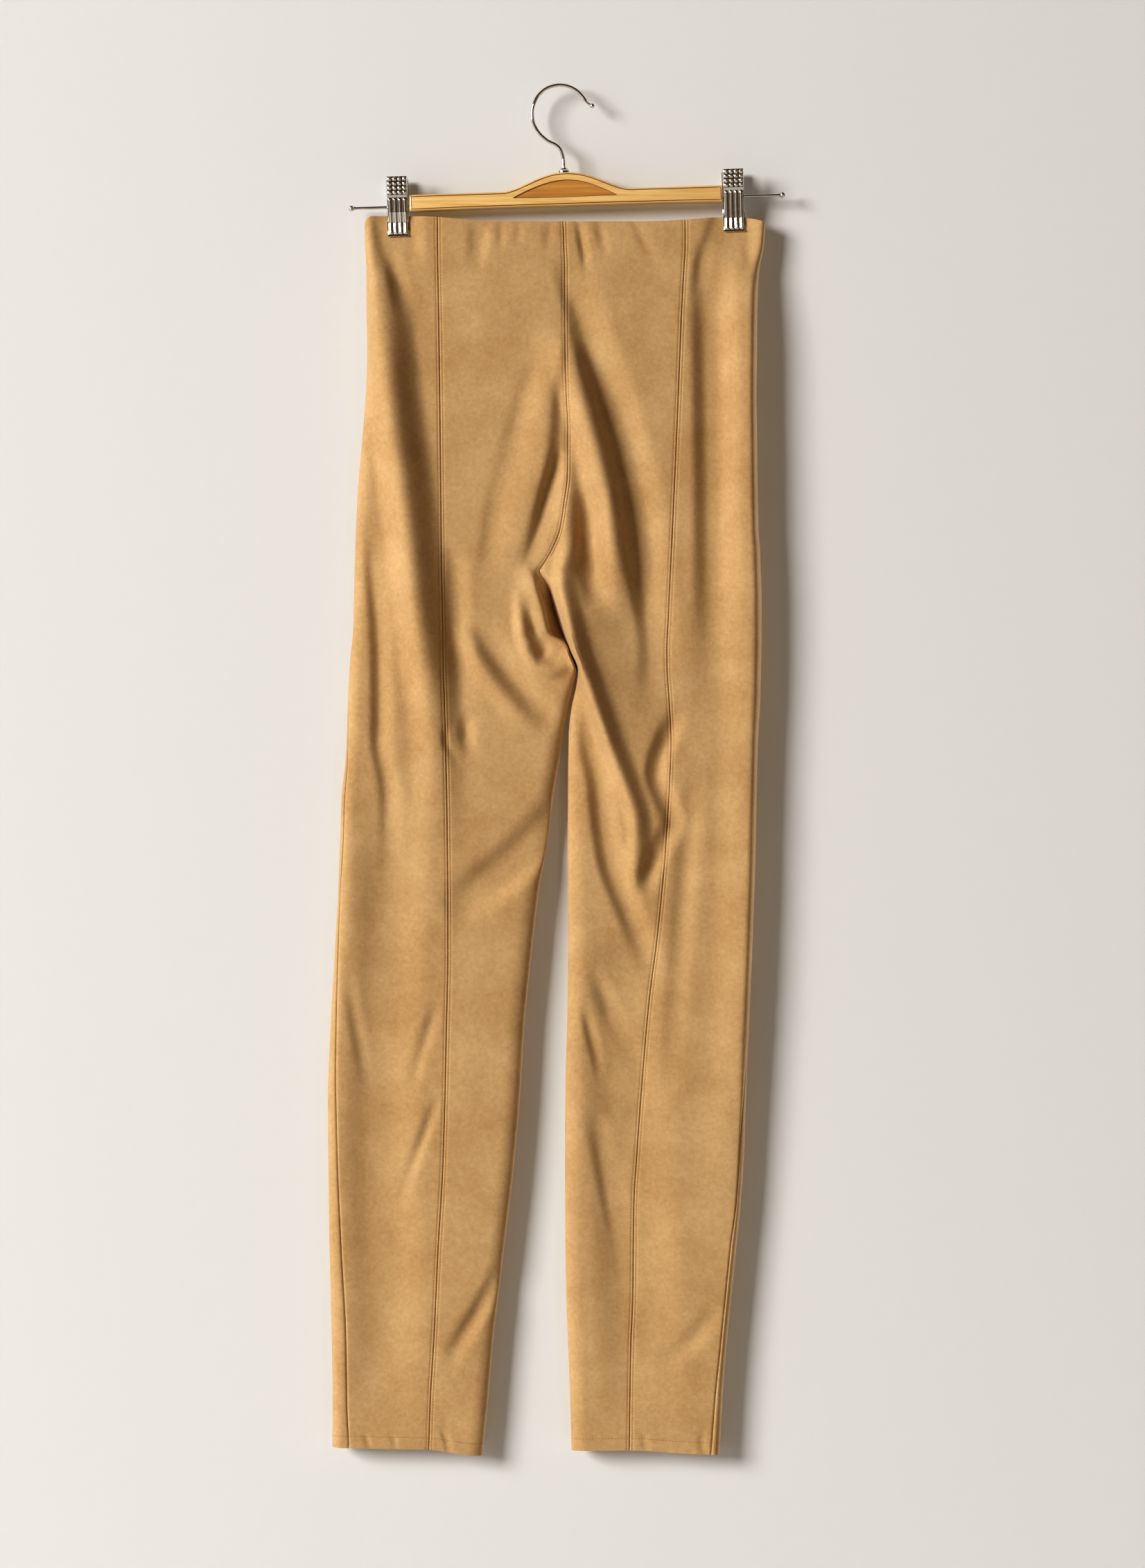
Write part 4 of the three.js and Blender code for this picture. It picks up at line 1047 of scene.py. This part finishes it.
def sewn_row(line, normals):
    """Stitches along a line on the cloth: rings of points for each strand, thin at its two ends."""
    steps = np.linalg.norm(np.diff(line, axis=0), axis=1)
    along = np.concatenate([[0], np.cumsum(steps)])
    count = int(along[-1] / (STITCH * MM))
    starts = (np.arange(count) + 0.12) * along[-1] / count
    rings = []
    for share, girth, sunk in ((0.0, 0.35, 0.30), (0.18, 0.9, 0.04), (0.5, 1.0, -0.10),
                               (0.76, 0.35, 0.30)):
        at = starts + share * STITCH * MM
        centre = np.stack([np.interp(at, along, line[:, k]) for k in range(3)], axis=1)
        ahead = np.stack([np.interp(at + 1e-4, along, line[:, k]) for k in range(3)], axis=1)
        normal = np.stack([np.interp(at, along, normals[:, k]) for k in range(3)], axis=1)
        normal /= np.linalg.norm(normal, axis=1, keepdims=True)
        side = np.cross(ahead - centre, normal)
        side /= np.maximum(np.linalg.norm(side, axis=1, keepdims=True), 1e-12)
        turn = 2 * pi * np.arange(RING) / RING
        radius = THREAD / 2 * girth * MM
        ring = (centre - sunk * THREAD * MM * normal)[:, None] + radius * (
            np.cos(turn)[None, :, None] * side[:, None] + np.sin(turn)[None, :, None]
            * normal[:, None])
        rings.append(ring)
    return np.stack(rings, axis=1).reshape(-1, 4 * RING, 3)


def stitches(name, rows):
    strands = np.concatenate([sewn_row(*row) for row in rows])
    ring = np.arange(RING)
    walls = [np.stack([k * RING + ring, k * RING + (ring + 1) % RING,
                       (k + 1) * RING + (ring + 1) % RING, (k + 1) * RING + ring], axis=1)
             for k in range(3)]
    walls = np.concatenate(walls)
    faces = (walls[None] + (np.arange(len(strands)) * 4 * RING)[:, None, None]).reshape(-1, 4)
    caps = [tuple(base + (ring[::-1] if end == 0 else 3 * RING + ring))
            for base in range(0, len(strands) * 4 * RING, 4 * RING) for end in (0, 1)]
    mesh = bpy.data.meshes.new(name)
    mesh.from_pydata(strands.reshape(-1, 3).tolist(), [], faces.tolist() + caps)
    piece = bpy.data.objects.new(name, mesh)
    bpy.context.scene.collection.objects.link(piece)
    tidy_shell(piece, 80)
    mesh.materials.append(thread)
    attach(piece, "root")
    return piece


FACE_COLUMNS = len(FINE) + CENTRE_COLUMNS  # a centre front's columns to its inner edge
hem_row = int(np.argmin(abs(levels - (OUTSEAM - HEM_UP))))
fork_row = int(np.argmin(abs(levels - (FORK_DOWN - 8))))
for node, (piece, points, normals) in panels.items():
    rows = []
    if node.startswith("front_side"):
        rows.append((points[1:, -1 - STITCH_COLUMN], normals[1:, -1 - STITCH_COLUMN]))
    if node.startswith("front_centre"):
        rows.append((points[1:, STITCH_COLUMN], normals[1:, STITCH_COLUMN]))
        centre = FACE_COLUMNS + 2
        rows.append((points[1:fork_row, centre], normals[1:fork_row, centre]))
    rows.append((points[hem_row, 2:-2], normals[hem_row, 2:-2]))
    sewn = stitches("stitches_" + node, rows)
    side = node.rsplit("_", 1)[1]


# Wall and floor: a plain pale wall just behind the hanger and a floor well below the hems.
WALL_Y = 0.0145
FLOOR_Z = -1.45


def stage_plane(name, corners, colour):
    mesh = bpy.data.meshes.new(name)
    mesh.from_pydata(corners, [], [(0, 1, 2, 3)])
    plane = bpy.data.objects.new(name, mesh)
    bpy.context.scene.collection.objects.link(plane)
    material = bpy.data.materials.new(name)
    material.use_nodes = True
    nodes, links = material.node_tree.nodes, material.node_tree.links
    shader = nodes["Principled BSDF"]
    shader.inputs["Base Color"].default_value = colour
    shader.inputs["Roughness"].default_value = 0.9
    clear = nodes.new("ShaderNodeBsdfTransparent")
    blend = nodes.new("ShaderNodeMixShader")
    facing = nodes.new("ShaderNodeNewGeometry")
    links.new(facing.outputs["Backfacing"], blend.inputs[0])
    links.new(shader.outputs[0], blend.inputs[1])
    links.new(clear.outputs[0], blend.inputs[2])
    links.new(blend.outputs[0], nodes["Material Output"].inputs["Surface"])
    mesh.materials.append(material)
    return plane


wall = stage_plane("wall", [(-3, WALL_Y, FLOOR_Z), (3, WALL_Y, FLOOR_Z), (3, WALL_Y, 1.6),
                            (-3, WALL_Y, 1.6)], (0.69, 0.70, 0.71, 1))
wall.visible_shadow = False  # the back of the trousers hangs close to it and is lit through it
stage_plane("floor", [(-3, -4, FLOOR_Z), (3, -4, FLOOR_Z), (3, 4, FLOOR_Z), (-3, 4, FLOOR_Z)],
            (0.62, 0.60, 0.57, 1))


# Light: a large soft lamp far off to the left and a little above, a faint card beside it for the
# chrome, a faint narrow strip on the right, a lamp behind for the back, and a weak warm fill.
def area_light(name, away, energy, size, colour, target=(0.0, 0.0, -0.56)):
    """A rectangular lamp of (width, height) that faces the trousers."""
    data = bpy.data.lights.new(name, "AREA")
    data.energy = energy
    data.shape = "RECTANGLE"
    data.size, data.size_y = size
    data.color = colour
    lamp = bpy.data.objects.new(name, data)
    lamp.location = Vector(target) + Vector(away)
    lamp.rotation_euler = (-Vector(away)).to_track_quat("-Z", "Y").to_euler()
    bpy.context.scene.collection.objects.link(lamp)


area_light("key", (-8.5, -6.6, 3.1), 1130, (4.0, 4.0), (1.0, 0.985, 0.955))
area_light("card_left", (-2.4, -1.6, 0.2), 9.0, (1.2, 2.6), (1.0, 0.97, 0.92))
area_light("strip_right", (1.2, -2.5, 0.3), 2.2, (0.25, 2.6), (1.0, 0.86, 0.70))
area_light("behind", (4.2, 3.4, 1.6), 150, (2.4, 2.4), (1.0, 0.98, 0.95))
world = bpy.data.worlds.new("room")
world.use_nodes = True
world.node_tree.nodes["Background"].inputs["Color"].default_value = (1.0, 0.64, 0.36, 1)
world.node_tree.nodes["Background"].inputs["Strength"].default_value = 0.075
bpy.context.scene.world = world
